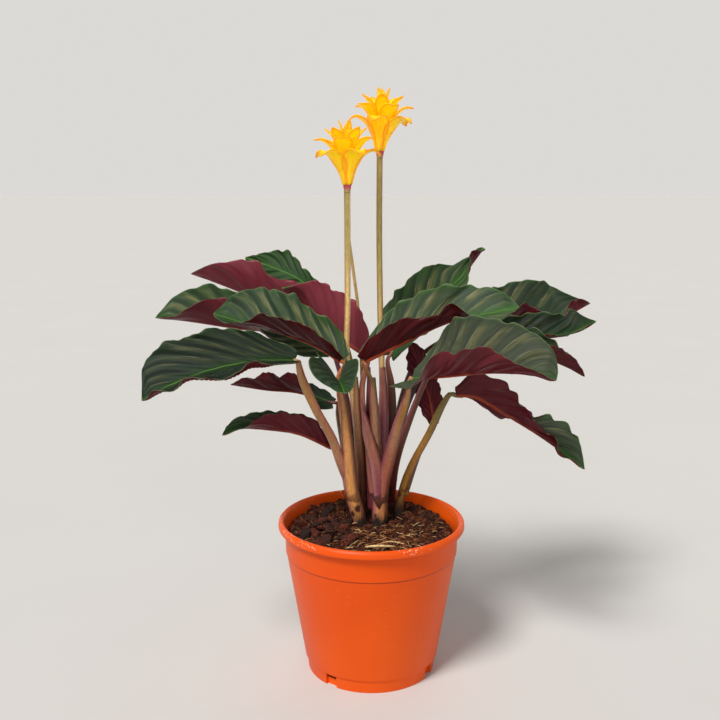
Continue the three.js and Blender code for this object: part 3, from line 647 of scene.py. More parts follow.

# %% [markdown]
# ## The seventeen leaves
# Each leaf is listed by its rib from base to tip, and for each half the width, the lifts and the
# waves. Left and right are as seen along the rib. Leaves on the left of the plant turn their near
# half up or down, and those on the right hang their near half, so that both colours show.

# %% Leaf list
# Each leaf's tone, and the paleness of its underside, are painted light and shade: low where that side is in
# shade, high where it is lit.
leaves = {
    "leaf_left_low": dict(
        rib=[(-50, -24, 225), (-75, -33, 226), (-101, -40, 222), (-125, -46, 214), (-145, -50, 204)],
        right=dict(width=30, lift=[40, 50, 54, 56, 46], wave=(4, 1.5, 0.2),
                   shape=[0.8, 0.76, 0.78, 0.84, 0.9, 0.94, 0.96, 1.04, 1.2, 1.35, 1.6]),
        left=dict(width=19, lift=[0, 2, 2, 10, -6, -12, 4, 12, -4, 16, 0]),
        lobe=3, fullness=0.4, tone=0.05, pleat=1.6, sweep=0.5, underside_light=0.2, bands=0.75, grey_bloom_and_sheen=0.05),
    "leaf_left_long": dict(
        rib=[(-33, 38, 222), (-64, 38, 233), (-97, 38, 237), (-129, 36, 242), (-154, 34, 245)],
        right=dict(width=26, lift=[30, 56, 66, 60], wave=(4, 1.5, 0.1),
                   shape=[1, 1, 1, 1, 1, 1, 1.1, 1.3, 1.42, 1.5, 1.6]),
        left=dict(width=21, lift=[-45, -42, -32, -10, 20, 52, 66, 64, 46, 16, 10],
                  shape=[1, 1, 1, 1, 1, 1, 1.15, 1.18, 1.2, 1, 1]),
        lobe=4, tone=0.55, pale_green_and_backlight=0.25, underside_light=0.35),
    "leaf_left_front": dict(
        rib=[(-21, -9, 222), (-38, -3, 231), (-66, 3, 240), (-84, 6, 244), (-108, 8, 251)],
        right=dict(width=27, lift=[40, 62, 64, 60], wave=(3, 1.5, 0.5),
                   shape=[1, 1, 0.9, 0.86, 0.92, 1, 1.08, 1.26, 1.34, 1.42, 1.8]),
        left=dict(width=22, lift=[45, 44, 42, 34, 6, -12]),
        lobe=2, tone=0.5, pale_green_and_backlight=0.25, underside_light=0.0),
    "leaf_left_high": dict(
        rib=[(-31, 67, 228), (-61, 68, 247), (-88, 68, 256), (-114, 68, 266), (-134, 68, 273)],
        right=dict(width=16, lift=[60, 75, 78, 60]),
        left=dict(width=23, lift=[50, 64, 70, 50], wave=(3, 1.6, 0.2),
                  shape=[1, 1, 1, 1, 0.95, 0.95, 1.25, 1.28, 1.3, 1.3, 1.2]),
        lobe=3, tone=0.9, pale_green_and_backlight=0.4, underside_light=0.85),
    "leaf_back_left": dict(
        rib=[(-38, 78, 248), (-54, 85, 266), (-74, 91, 275), (-97, 94, 283)],
        right=dict(width=17, lift=[20, 25, 20],
                   shape=[0.8, 0.8, 0.75, 0.65, 0.6, 0.78, 0.95, 0.92, 0.8, 0.7, 0.6]),
        left=dict(width=18, lift=[0, 5, 0]), up=(-0.1, -0.7, 0.7),
        lobe=2, fullness=0.7, peak=1.15, tone=0.35, pale_green_and_backlight=0.5, bands=0.35),
    "leaf_centre": dict(
        rib=[(-5.4, 16, 222), (-19, 18, 231), (-34, 24, 243), (-51, 32, 256), (-63, 38, 266)],
        right=dict(width=19, lift=[66, 70, 70, 60]),
        left=dict(width=26, lift=[80, 84, 84, 70, 20], wave=(3, 1.4, 0.1),
                  shape=[0.8, 1, 1.12, 1.1, 1.05, 1.05, 1.05, 1.12, 1.15, 1.1, 1]),
        lobe=3, tone=0.95, underside_light=1.0),
    "leaf_left_shaded": dict(
        rib=[(-27.6, 13.6, 188.4), (-52, 16, 195), (-73, 14, 197), (-98, 12, 201)],
        right=dict(width=15, lift=[20, 24, 16, 20]),
        left=dict(width=16, lift=[-50, 46, 60, 50], wave=(4, 2, 0.5)),
        lobe=2, tone=0.1, bands=0.2, underside_light=0.1),
    "leaf_left_lowest": dict(
        rib=[(-29, 12.4, 156), (-51, 8, 167), (-72, 4, 171), (-91, 2, 172), (-103, 0, 168)],
        right=dict(width=13, lift=[60, 72, 72, 50]),
        left=dict(width=16, lift=[50, 66, 66, 30, 0], wave=(3, 1.4, 0.3)),
        lobe=3, tone=0.4, underside_light=0.35),
    "leaf_small": dict(
        rib=[(-22.6, -13, 208), (-20.5, -25, 210), (-17.5, -38, 206)],
        right=dict(width=25, lift=[56, 42, 30, 20], cup=-12, wave=(1, 0.6, 0),
                   shape=[1, 1, 1.05, 1.05, 1, 0.8]),
        left=dict(width=19, lift=[70, 56, 42, 16], cup=0, wave=(1, 0.6, 0.5),
                  shape=[1, 1, 1, 0.85, 0.7, 0.8]),
        lobe=0, base=0.98, tone=0.4, bands=0.3, pleat=0.3, ripple=0.0),
    "leaf_right_high": dict(
        rib=[(-4, -4.2, 221), (21, -8, 234), (49, -12, 248), (74, -14, 254), (96, -16, 259)],
        left=dict(width=27, lift=[55, 70, 72, 60], wave=(3, 1, 0.4),
                  shape=[1, 1, 1, 1, 0.97, 0.94, 0.92, 0.95, 1.02, 1.1, 1.4]),
        right=dict(width=22, lift=[60, 62, 64, 56, 50, 44, 64, 8, -4, -14, -20], wave=(3, 1.6, 0.15),
                   shape=[1, 1, 0.95, 0.9, 0.76, 0.54, 0.62, 0.9, 1, 1, 1]),
        lobe=3, tone=0.95, pleat=1.0, underside_light=0.0, grey_bloom_and_sheen=0.15),
    "leaf_right_upright": dict(
        rib=[(13, 25, 220), (24, 34, 238), (42, 46, 254), (60, 57, 267), (72, 64, 279), (82, 68, 292)],
        left=dict(width=24, lift=[10, 12, 10, 10, 12, 14, 16, 20, 10, 0, 0], wave=(3, 1.4, 0.4),
                  shape=[1, 1, 1, 1, 1, 1, 1, 0.95, 0.62, 0.4, 0.6]),
        right=dict(width=20, lift=[20, 20, 15, 10, 10, 15, 20, 25, 60, 125, 150],
                   shape=[1, 1, 1, 1, 1, 0.9, 0.8, 0.66, 0.6, 0.9, 1.5]),
        twist=[0, 0, 0, 0, 0, 0, 0, 0, 5, 15, 20], up=(-0.35, -0.9, 0.5),
        lobe=4, tone=0.55, pale_green_and_backlight=0.5, underside_light=0.15),
    "leaf_right_back": dict(
        rib=[(57, 52, 227), (94, 56, 234), (121, 62, 238), (143, 66, 242), (162, 70, 251)],
        left=dict(width=27, lift=[50, 70, 72, 50], wave=(3, 1, 0.3),
                  shape=[1, 1, 1.05, 1.1, 1.15, 1.2, 1.22, 1.3, 1.42, 1.1, 0.8]),
        right=dict(width=20, lift=[20, 25, 36, 42, 44, 50, 34, 12, 30, 95, 120], wave=(3, 1, 0.7),
                   shape=[1, 1, 1, 1, 1, 1, 1, 1, 0.85, 0.9, 1.5]),
        twist=[0, 0, 0, 0, 0, 0, 0, 0, 0, 10, 20], lobe=3, tone=0.4, underside_light=0.15),
    "leaf_right_shaded": dict(
        rib=[(65.6, 26, 222.2), (97, 28, 229), (126, 32, 232), (145, 36, 235), (160, 40, 242)],
        left=dict(width=18, lift=[60, 84, 84, 60], wave=(3, 1.4, 0.2),
                  shape=[1, 1, 1, 1, 1, 1, 1, 1, 1.1, 1.7, 1]),
        right=dict(width=10, lift=[0, 15, 15, 10], wave=(3, 1.4, 0.6)),
        lobe=2, tone=0.15, bands=0.7, underside_light=0.1),
    "leaf_right_front": dict(
        rib=[(26, -21, 212.6), (50, -34, 217), (75, -48, 222), (98, -60, 223), (112, -66, 221)],
        left=dict(width=32, lift=[40, 70, 82, 76, 60], wave=(3, 1, 0.1), lobe=0,
                  shape=[0.8, 1, 1.1, 1.16, 1.16, 1.14, 1.08, 1.13, 1.23, 1.32, 1.8]),
        right=dict(width=23, lift=[-34, -14, 30, 46, 48, 50, 48, 46, 40, 26, 10],
                   wave=(3, 2.8, 0.35), lobe=14),
        tone=0.35, pleat=1.2, underside_light=0.3, grey_bloom_and_sheen=0.3),
    "leaf_right_middle": dict(
        rib=[(44.6, 5.6, 214.6), (74, 6, 224), (106, 8, 225), (131, 12, 216), (148, 15, 207)],
        left=dict(width=24, lift=[60, 80, 86, 70], wave=(3, 1, 0.3),
                  shape=[1, 1, 1, 0.9, 0.8, 0.7, 0.7, 0.65, 0.6, 0.6, 0.8]),
        right=dict(width=16, lift=[20, 30, 50, 44], wave=(3, 1.2, 0.55)),
        lobe=3, tone=0.3, underside_light=0.1),
    "leaf_right_low": dict(
        rib=[(58, 4, 196), (71, 2, 195), (88, -2, 186), (115, -8, 170), (144, -14, 149)],
        left=dict(width=19, lift=[-20, -30, -40, -34, -14, 26, 60, 66, 62, 56, 46],
                  shape=[0.5, 0.5, 0.55, 0.6, 0.58, 0.5, 0.76, 1.06, 1.15, 1.25, 1.4]),
        right=dict(width=20, lift=[70, 84, 86, 84, 76, 60, 76, 70, -10, 10, -20],
                   wave=(4, 1.8, 0.1), shape=[1, 1.3, 1.12, 0.98, 0.75, 0.58, 0.3, 0.34, 0.5, 0.6, 0.5]),
        lobe=1, tone=0.5, pleat=1.2, ripple=2, underside_light=0.27, grey_bloom_and_sheen=0.25),
    "leaf_right_lowest": dict(
        rib=[(45, 31, 170), (42, 34, 187), (36, 42, 206), (29, 50, 224)],
        left=dict(width=12, lift=[-30, -30, -10], cup=3),
        right=dict(width=12, lift=[20, 20, 10], cup=3, wave=(1, 1.2, 0)), up=(0, 1, 0.4),
        lobe=2, tone=0.2, underside_light=0.5),
}
print(len(leaves), "leaves listed")

# %% Make the leaves
leaf_finishes = [upper.material, lower.material, margin.material]
for name, blade in leaves.items():
    blade_mesh = bmesh.new()
    lay_blade(blade_mesh, blade, ROWS, COLUMNS)
    leaf = finish_piece(name.replace("leaf", "blade"), blade_mesh, leaf_finishes)
    thicken(leaf, RIB_THICKNESS)
    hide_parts(name)

# %% [markdown]
# ## Stalks
# A leaf stalk is a round, faintly grooved tube: dark and papery at the soil, golden or mauve
# higher up, and drawn in where it meets the leaf. Wider tubes round its foot stand for the sheaths
# that the stalks of a shoot grow out of, and a few more stems stand inside the bundle. The dark
# maroon of the stems inside and at the back of the bundle is partly painted shade. A cylinder
# with many rings is bent along each line. A curve with a bevel would be quicker, but its points
# couldn't be painted. The colour is painted at the points, since it changes along and round the
# stalk: round it, the sides turn to colours that are partly the stalk's own and partly painted
# light and shade. The finish adds fine streaks, scars near the soil, blotches and a waxy gloss.

# %% Stalk finish
stalk_skin = Finish("stalk_skin", Roughness=0.36, Specular_IOR_Level=0.5)
fade, times, paint, here = stalk_skin.fade, stalk_skin.times, stalk_skin.paint, stalk_skin.place()
tint = stalk_skin.attributes("tint", output="Color")[0]
streaks = stalk_skin.noise(stalk_skin.stretched(here, (1.0, 1.0, 0.05)), 2200.0, 3.0, 0.6)
broad = stalk_skin.noise(stalk_skin.stretched(here, (1.0, 1.0, 0.16)), 420.0, 3.0)
mottle = stalk_skin.noise(here, 260.0, 4.0, 0.7)
above_soil = stalk_skin.add("SeparateXYZ", [("Vector", here)]).outputs["Z"]
scars = times(fade(stalk_skin.noise(here, 120.0, 2.0), 0.52, 0.6), fade(above_soil, 0.132, 0.112))
ragged = stalk_skin.math("MULTIPLY_ADD", broad, 0.03, above_soil)
lit = [("Value", fade(streaks, 0.25, 0.75, 0.72, 1.3)), ("Color", tint)]
paint(stalk_skin.add("HueSaturation", lit).outputs[0])
paint(rgb(96, 52, 44), fade(broad, 0.5, 0.8, 0.0, 0.4))
paint(rgb(58, 30, 20), stalk_skin.math("MAXIMUM", scars, fade(mottle, 0.66, 0.8, 0.0, 0.5)))
paint(rgb(40, 32, 30), fade(ragged, 0.124, 0.116))
stalk_skin.set("Roughness", fade(streaks, 0.3, 0.7, 0.3, 0.46))
stalk_skin.bump(stalk_skin.math("ADD", streaks, broad), 0.3, 0.0004)
print("stalk skin has", len(stalk_skin.tree.nodes), "nodes")


# %% Stalk helper
STALK_SIDES = 18
STALK_RINGS = 60


def lay_stalk(mesh, path, radii, colours, left=None, right=None,
              sides=STALK_SIDES, rings=STALK_RINGS, ridges=0.02):
    """Adds a closed tube along a path. Colours run from its foot to its top, and left and right
    are the colours that its sides turn to: partly the stalk's own colours, partly painted light
    and shade on its sides."""
    tube = bmesh.new()
    paint = tube.verts.layers.float_color.new("tint")
    line = Line(path)
    bmesh.ops.create_cone(tube, cap_ends=True, segments=sides, radius1=1, radius2=1, depth=1)
    long_edges = [e for e in tube.edges if abs(e.verts[0].co.z - e.verts[1].co.z) > 0.5]
    bmesh.ops.subdivide_edges(tube, edges=long_edges, cuts=rings - 1)
    normal = line.direction(0).cross(Vector((0.3, 1, 0.1))).normalized()
    frames = {}
    for ring in range(rings + 1):
        tangent = line.direction(ring / rings)
        normal = (normal - tangent * normal.dot(tangent)).normalized()
        frames[ring] = (line.point(ring / rings), normal, tangent.cross(normal))
    for vert in tube.verts:
        t = vert.co.z + 0.5
        point, across, forward = frames[round(t * rings)]
        turned = math.atan2(vert.co.y, vert.co.x)
        radius = along(radii, t) * (1 + ridges * math.cos(6 * turned) + ridges * math.sin(11 * turned))
        out = across * math.cos(turned) + forward * math.sin(turned)
        vert.co = point + out * radius
        colour = Vector([along([c[i] for c in colours], t) for i in range(3)])
        # The sides turn towards the side colours: partly the stalk's own colour, partly painted light and
        # shade.
        for side_colour, facing in ((left, -out.x), (right, out.x)):
            if side_colour:
                colour = colour.lerp(Vector(side_colour[:3]), 0.85 * smooth(0.25, 0.85, facing))
        vert[paint] = (*(max(c, 0.001) for c in colour), 1)
    tube_data = mesh_data("tube", tube)
    mesh.from_mesh(tube_data)
    bpy.data.meshes.remove(tube_data)


print("a plain stalk has", STALK_SIDES * (STALK_RINGS + 1), "points")


# %% Paths and bundles of stalks
def to_leaf(path, leaf, turn=3.5, under=0.05):
    """A stalk's path run on into the line of its leaf's rib, and a little way under the blade."""
    blade = leaves[leaf]
    line = Line(blade["rib"])
    base, ahead = Vector(blade["rib"][0]), Vector(blade["rib"][1])
    back = (base - ahead).normalized()
    up = Vector(blade.get("up", (0, 0, 1))).normalized()
    tangent = line.direction(0)
    outward = tangent.cross(up).normalized().cross(tangent)
    return [*path, base + back * turn, base - outward * 0.7, line.point(under) - outward * 0.9]


def root_at(x, y):
    """The first points of a path, which start deep in the soil."""
    return [(x, y, 70), (x, y, SOIL_LEVEL + 2)]


def make_stalks(bundles, word, new_word):
    """One piece for each bundle of stalks, named after its node with one word changed."""
    for name, stalks in bundles.items():
        bundle_mesh = bmesh.new()
        for stalk in stalks:
            lay_stalk(bundle_mesh, **stalk)
        bmesh.ops.recalc_face_normals(bundle_mesh, faces=bundle_mesh.faces)
        bundle = finish_piece(name.replace(word, new_word), bundle_mesh, [stalk_skin.material])
        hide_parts(name)


print("the small leaf's stalk ends at", [round(x, 1) for x in to_leaf([], "leaf_small")[-1]])

# %% Colours of the stalks
GOLD = rgb(202, 140, 78)
TAN = rgb(168, 120, 84)
OLIVE = rgb(112, 94, 42)
OLIVE_GOLD = rgb(162, 116, 52)
MAUVE = rgb(138, 74, 82)
PINK = rgb(172, 104, 80)
MAROON = rgb(84, 24, 36)
BROWN = rgb(86, 46, 32)
DARK = rgb(46, 30, 26)
ORANGE_TOP = rgb(186, 106, 54)
BLUSH = rgb(190, 132, 126)
STRAW = rgb(226, 188, 126)
STRAW_GREEN = rgb(164, 152, 84)
STRAW_BROWN = rgb(168, 120, 66)
COLLAR_PINK = rgb(190, 70, 84)
print("gold, in the linear light of the shaders:", [round(x, 2) for x in GOLD[:3]])

# %% The five shoots
shoots = {
    "shoot_left": [
        dict(path=to_leaf([*root_at(-9, 13), (-14, 11, 125), (-17, 6, 163), (-20, -6, 196)], "leaf_small"),
             radii=[5.3, 5.3, 5.2, 4.8, 4.0, 2.4, 1.4],
             colours=[DARK, DARK, GOLD, GOLD, GOLD, OLIVE_GOLD, TAN],
             left=MAUVE, right=BROWN, sides=26),
        dict(path=to_leaf([(-15, 12, 128), (-21, 8, 144), (-27, 2, 164), (-38, -12, 190),
                           (-46, -20, 212)], "leaf_left_low", 1.2, 0.01),
             radii=[3.6, 3.4, 3.2, 3, 3, 2.9, 1.6],
             colours=[MAUVE, TAN, TAN, OLIVE_GOLD, TAN], left=TAN, right=PINK),
        dict(path=to_leaf([(-16, 11, 139), (-19, 8, 170), (-22, 2, 197), (-22, -4, 210)], "leaf_left_front"),
             radii=[3.4, 2.6, 2.1, 2, 1.0], colours=[MAUVE, PINK, ORANGE_TOP, ORANGE_TOP]),
    ],
    "shoot_middle": [
        dict(path=to_leaf([*root_at(6, 17), (7, 16, 123), (12, 9, 148), (18, -4, 176), (24, -20, 202)],
                          "leaf_right_front", 1.0, 0.015),
             radii=[5.7, 5.8, 5.6, 4.8, 4.4, 3.4, 2.8, 1.3],
             colours=[DARK, GOLD, PINK, PINK, TAN, OLIVE_GOLD, TAN],
             left=MAUVE, right=BROWN, sides=26),
        dict(path=to_leaf([(3, 17, 121), (-1, 16, 149), (-5, 14, 175), (-6.5, 15, 200)], "leaf_centre"),
             radii=[4.6, 3.8, 2.2, 2, 2, 1.0], colours=[MAUVE, MAUVE, PINK, MAROON], left=PINK),
        dict(path=[(6, 17.5, 112), (4, 13, 150), (2, 9, 180), (1.2, 6, 207)],
             radii=[4.2, 3.9, 3.5, 3.2, 1.6],
             colours=[MAUVE, PINK, TAN, TAN, BROWN], left=PINK, right=BROWN, sides=20),
        dict(path=to_leaf([(2, 9, 180), (1, 5.4, 203)], "leaf_right_high", 2.4), radii=[1.5, 1.3, 1.3, 1.0],
             colours=[TAN, OLIVE, ORANGE_TOP]),
        # A dark maroon stem inside the bundle: its colour is partly painted shade among the stalks.
        dict(path=[(1, 19, 108), (-1, 22, 150), (-1.5, 20, 185), (-2, 18, 212)], radii=[4, 3.6, 3, 1.2],
             colours=[MAROON, MAROON, MAROON, MAUVE], sides=16),
        dict(path=[(6, 17, 100), (6, 15.6, 122), (3.5, 12, 145), (-2, 10, 166), (-7, 9, 189)],
             radii=[4, 5, 4.8, 4.2, 0.5], colours=[MAUVE, MAUVE, PINK, MAUVE],
             left=BLUSH, right=MAROON, sides=22),
    ],
    "shoot_right": [
        dict(path=to_leaf([*root_at(20, 29), (24, 25.5, 125), (29.5, 22, 141), (40.5, 15, 165),
                           (50.5, 7.5, 190)], "leaf_right_low"),
             radii=[4.4, 4.2, 3, 2.6, 2.5, 2.4, 1.4],
             colours=[DARK, DARK, OLIVE_GOLD, OLIVE_GOLD, OLIVE, OLIVE],
             right=BROWN, sides=20),
        dict(path=to_leaf([(24.4, 27, 116), (35.6, 29, 149)], "leaf_right_lowest"),
             radii=[2.2, 2, 1.6, 0.9], colours=[OLIVE, BROWN, TAN]),
    ],
    "shoot_back_left": [
        dict(path=to_leaf([*root_at(-13, 33), (-15, 36, 163), (-20, 38, 193)], "leaf_left_long"),
             radii=[4.6, 4.2, 2.6, 2.2, 2, 1.0], colours=[DARK, BROWN, BROWN, MAUVE, MAROON], sides=20),
        dict(path=to_leaf([(-12, 34, 118), (-12, 48, 161), (-18, 60, 201)], "leaf_left_high"),
             radii=[3, 2.4, 2, 1.9, 1.0], colours=[BROWN, MAUVE, PINK]),
        dict(path=to_leaf([(-15, 32, 112), (-20, 27, 150), (-23.6, 19, 178)], "leaf_left_shaded"),
             radii=[3, 2.4, 2.2, 1.9, 1.0], colours=[BROWN, OLIVE, OLIVE, MAROON]),
        dict(path=to_leaf([(-15, 31, 106), (-21, 25, 138)], "leaf_left_lowest"),
             radii=[3, 2.6, 2.2, 1.9, 1.0], colours=[BROWN, PINK, PINK]),
        dict(path=to_leaf([(-11, 36, 116), (-10, 60, 165), (-20, 74, 220)], "leaf_back_left"),
             radii=[3, 2.4, 2, 1.8, 0.9], colours=[BROWN, OLIVE, OLIVE]),
    ],
    "shoot_back_right": [
        # The stalks at the back are dark maroon and brown: partly their own colour, partly painted shade at
        # the back of the bundle.
        dict(path=to_leaf([*root_at(13, 41), (14.4, 40, 155), (14, 34, 194)], "leaf_right_upright"),
             radii=[4.8, 4.8, 4.6, 4.2, 2.8, 1.0], colours=[DARK, MAROON, MAROON, BROWN, PINK], sides=22),
        dict(path=to_leaf([(14, 43, 118), (18, 44, 153), (22, 46, 183), (34, 50, 212)], "leaf_right_back"),
             radii=[3.2, 2.4, 2.2, 2, 1.8, 1.0], colours=[MAROON, BROWN, BROWN, BROWN]),
        dict(path=to_leaf([(15, 40, 116), (20, 37, 154), (27, 33, 185), (40, 29.6, 209)],
                          "leaf_right_shaded"),
             radii=[3, 2.4, 2.2, 2, 1.8, 1.0], colours=[MAROON, BROWN, DARK, BROWN]),
        dict(path=to_leaf([(14, 39, 108), (19, 27, 146), (28, 20, 177), (37, 12, 203)],
                          "leaf_right_middle"),
             radii=[3.4, 2.8, 2.8, 2.4, 1.9, 1.0], colours=[MAROON, BROWN, BROWN, BROWN], left=MAUVE),
    ],
}
make_stalks(shoots, "shoot", "stalks")


# %% The two flower stalks, each with a sheath at its foot
def collar(path):
    """The pink, widened end of a flower stalk, just under its head."""
    return dict(path=path, radii=[2, 2.5, 3.1], colours=[STRAW_GREEN, COLLAR_PINK, COLLAR_PINK],
                sides=16, rings=10, ridges=0.06)


flower_stalks = {
    "flower_stalk_left": [
        dict(path=[*root_at(-7, 24.6), (-8, 24.6, 130), (-12.6, 17, 185), (-17, 8, 222),
                   (-16.2, -1, 262), (-16, -12, 338)],
             radii=[1.9, 2, 2, 2, 2.1], left=STRAW_BROWN, right=STRAW, rings=90,
             colours=[BROWN, OLIVE, STRAW_BROWN, STRAW, STRAW, STRAW, STRAW_GREEN, STRAW_GREEN]),
        dict(path=[(-7, 26, 112), (-6.4, 36, 170), (-9, 32, 244), (-13, 14, 282), (-16, -7.6, 308)],
             radii=[1.6, 1.3, 1.2, 1.1], colours=[BROWN, OLIVE, STRAW, STRAW], sides=12, rings=70),
        dict(path=[*root_at(-7, 24), (-7.5, 22, 140), (-9.5, 17, 172), (-11.3, 13, 206)],
             radii=[4.4, 4.2, 4, 3.4, 1.8], colours=[DARK, BROWN, BROWN, TAN, TAN],
             left=TAN, right=BROWN, sides=22),
        collar([(-16, -12, 332.8), (-16, -12, 335.5), (-16, -12, 339.5)]),
    ],
    "flower_stalk_right": [
        dict(path=[*root_at(3.6, 30), (6.6, 28, 150), (7.6, 22, 188), (6, 18, 246), (5, 14, 301),
                   (5, 10, 360)],
             radii=[2.2, 2.2, 2.1, 2, 2], left=STRAW_BROWN, right=STRAW_BROWN, rings=90,
             colours=[BROWN, MAROON, STRAW_BROWN, STRAW, STRAW, STRAW_GREEN, STRAW_GREEN, STRAW_GREEN]),
        dict(path=[*root_at(4.6, 29), (7.4, 26, 150), (8.4, 20, 188), (7.4, 18, 212)],
             radii=[4.6, 4.4, 4.2, 3.8, 2.2],
             colours=[DARK, MAROON, MAUVE, MAUVE, PINK], left=BLUSH, right=MAROON, sides=22),
        collar([(5, 10, 354.8), (5.1, 10, 357.5), (5.2, 10, 361.5)]),
    ],
}
make_stalks(flower_stalks, "flower", "scape")

# %% [markdown]
# ## Flower heads
# A head is a closed cup of stiff, waxy bracts that open in tiers into pointed, curled tips. Each
# bract is a small blade on a rib that climbs the cup and bends outwards, so the leaf's helper
# makes it too. They are yellow at the heart and flame orange along the margins and at the tips.
# Light shines through a bract, so its finish scatters light inside, and a faint emission is a
# painted glow that stands in for that light.

# %% Bract finish
# The emission is a painted glow, standing in for light that shines through the bracts.
bract_skin = Finish("bract_skin", Roughness=0.42, Specular_IOR_Level=0.3, Subsurface_Weight=0.6,
                    Subsurface_Scale=1.0, Subsurface_Radius=(0.004, 0.0025, 0.0006),
                    Emission_Color=rgb(255, 184, 0), Emission_Strength=0.17)
fade, paint = bract_skin.fade, bract_skin.paint
edge, rib, age, vein = bract_skin.attributes("edge", "rib", "tone", "vein")
flow = bract_skin.noise(bract_skin.grid(rib, bract_skin.times(vein, 0.6), age), 0.5, 2.0)
bruises = bract_skin.noise(bract_skin.place(), 230.0, 3.0)
paint(bract_skin.mix(age, rgb(255, 218, 20), rgb(255, 142, 4)))
paint(rgb(255, 176, 6), fade(flow, 0.42, 0.75, 0.0, 0.5))
paint(rgb(252, 138, 4), fade(edge, 2.4, 0.1, 0.0, 0.75))
paint(rgb(214, 96, 10), fade(bruises, 0.62, 0.74, 0.0, 0.55))
paint(rgb(130, 50, 14), fade(bruises, 0.72, 0.76, 0.0, 0.7))
bract_skin.bump(flow, 0.25, 0.0006)
print("bract skin has", len(bract_skin.tree.nodes), "nodes")

# %% Make the heads
TIERS = [
    dict(count=5, first=10, width=7.6, line=[(3, 1), (6.8, 12), (11.6, 19), (17.6, 21.8), (22.5, 18.8)]),
    dict(count=5, first=46, width=6.2, line=[(5.8, 14), (7.6, 20), (10.8, 25.5), (15.6, 29), (21, 29.4)]),
    dict(count=5, first=20, width=4.8, line=[(4.8, 18.6), (6, 25), (9, 31.4), (14.2, 36.6)]),
    dict(count=3, first=70, width=3.4, line=[(2.4, 19), (2.8, 27), (3.2, 36), (4.4, 41.5)]),
]
heads = {
    "flower_left": dict(base=(-16, -12, 336.6), tilt=(0, -1.5), turn=0),
    "flower_right": dict(base=(5.1, 10, 358.6), tilt=(0, 3), turn=31),
}
BRACT_THICKNESS = 0.7
BRACT_ROWS = 26
BRACT_COLUMNS = 14
for name, head in heads.items():
    head_mesh = bmesh.new()
    for tier in TIERS:
        for index in range(tier["count"]):
            angle = math.radians(tier["first"] + head["turn"] + 360 * index / tier["count"])
            out = Vector((math.cos(angle), math.sin(angle), 0))
            half = dict(width=tier["width"], lift=[34, 16, 10], cup=10)
            made = lay_blade(head_mesh, dict(
                rib=[out * radius + Vector((0, 0, z)) for radius, z in tier["line"]],
                up=(-0.6 * out.x, -0.6 * out.y, 0.8), left=half, right=half, lobe=0, base=0.3,
                fullness=0.72, peak=1.3, pleat=0.1, ripple=0.1, ridge=0.0), BRACT_ROWS, BRACT_COLUMNS)
            tone_layer = head_mesh.verts.layers.float["tone"]
            inner, outer = tier["line"][0][0], tier["line"][-1][0]
            for vert in made:
                vert[tone_layer] = smooth(0.6, 1.25, (vert.co.xy.length - inner) / (outer - inner))
    turned = Euler((math.radians(head["tilt"][0]), math.radians(head["tilt"][1]), 0)).to_matrix().to_4x4()
    bmesh.ops.transform(head_mesh, matrix=Matrix.Translation(head["base"]) @ turned, verts=head_mesh.verts)
    bloom = finish_piece(name.replace("flower", "bloom"), head_mesh, [bract_skin.material] * 3)
    thicken(bloom, BRACT_THICKNESS / BLADE_SHARE, 0.0)
    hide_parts(name)

# %% [markdown]
# ## Soil
# The pot is filled with dark peat and composted bark. Its surface is lumpy, rises to the back and
# sinks round the shoots. The body of it is a spun plug whose top is pushed up and down by noise.
# On it lie two more pieces: bark chips and crumbs, thickest at the left, and thin tan fibres, most
# of them at the front. Each is a few faces, laid by a loop with a fixed seed. Particles could
# scatter them too, but a loop keeps every one in view of the reader and the same each time.

# %% Soil finish
peat = Finish("peat", Roughness=0.95, Specular_IOR_Level=0.2)
grain = peat.noise(peat.place(), 520.0, 6.0, 0.7)
clods = peat.noise(peat.place(), 130.0, 3.0)
peat.paint(peat.mix(peat.fade(grain, 0.38, 0.68), rgb(16, 8, 6), rgb(88, 44, 24)))
peat.paint(rgb(112, 58, 32), peat.fade(clods, 0.45, 0.7, 0.0, 0.6))
peat.bump(grain, 0.9, 0.002)

bark = Finish("bark", Roughness=0.85, Specular_IOR_Level=0.25)
bark_tint = bark.attributes("tint", output="Color")[0]
bark_grain = bark.noise(bark.stretched(bark.place(), (1.0, 0.4, 1.0)), 900.0, 4.0, 0.7)
bark.paint(bark.mix(bark.fade(bark_grain, 0.3, 0.7), rgb(30, 13, 9), bark_tint))
bark.bump(bark_grain, 0.7, 0.0012)

straw = Finish("straw", Roughness=0.7, Specular_IOR_Level=0.3)
straw.paint(straw.attributes("tint", output="Color")[0])
straw.paint(rgb(96, 56, 30), straw.fade(straw.noise(straw.place(), 800.0), 0.3, 0.6, 0.5, 0.0))
print("soil finishes: peat, bark and straw")


# %% Soil body
def soil_height(x, y):
    """The surface of the soil: lumps, a rise to the back, a heap at the back left and a hollow
    round the shoots."""
    lumps = (1.1 * math.sin(x * 0.31 + 0.7) * math.cos(y * 0.27 - 0.4)
             + 0.8 * math.sin(x * 0.53 - y * 0.44) + 0.5 * math.sin(x * 0.9 + y * 0.8 + 1))
    heap = 7 * math.exp(-((x + 30) ** 2 + (y - 18) ** 2) / 330)
    crown = 3.5 * math.exp(-(x ** 2 + (y - 18) ** 2) / 420)
    rise = 4.5 * max(0, y / SHOULDER_RADIUS) ** 1.4
    return SOIL_LEVEL + lumps + heap + rise - crown


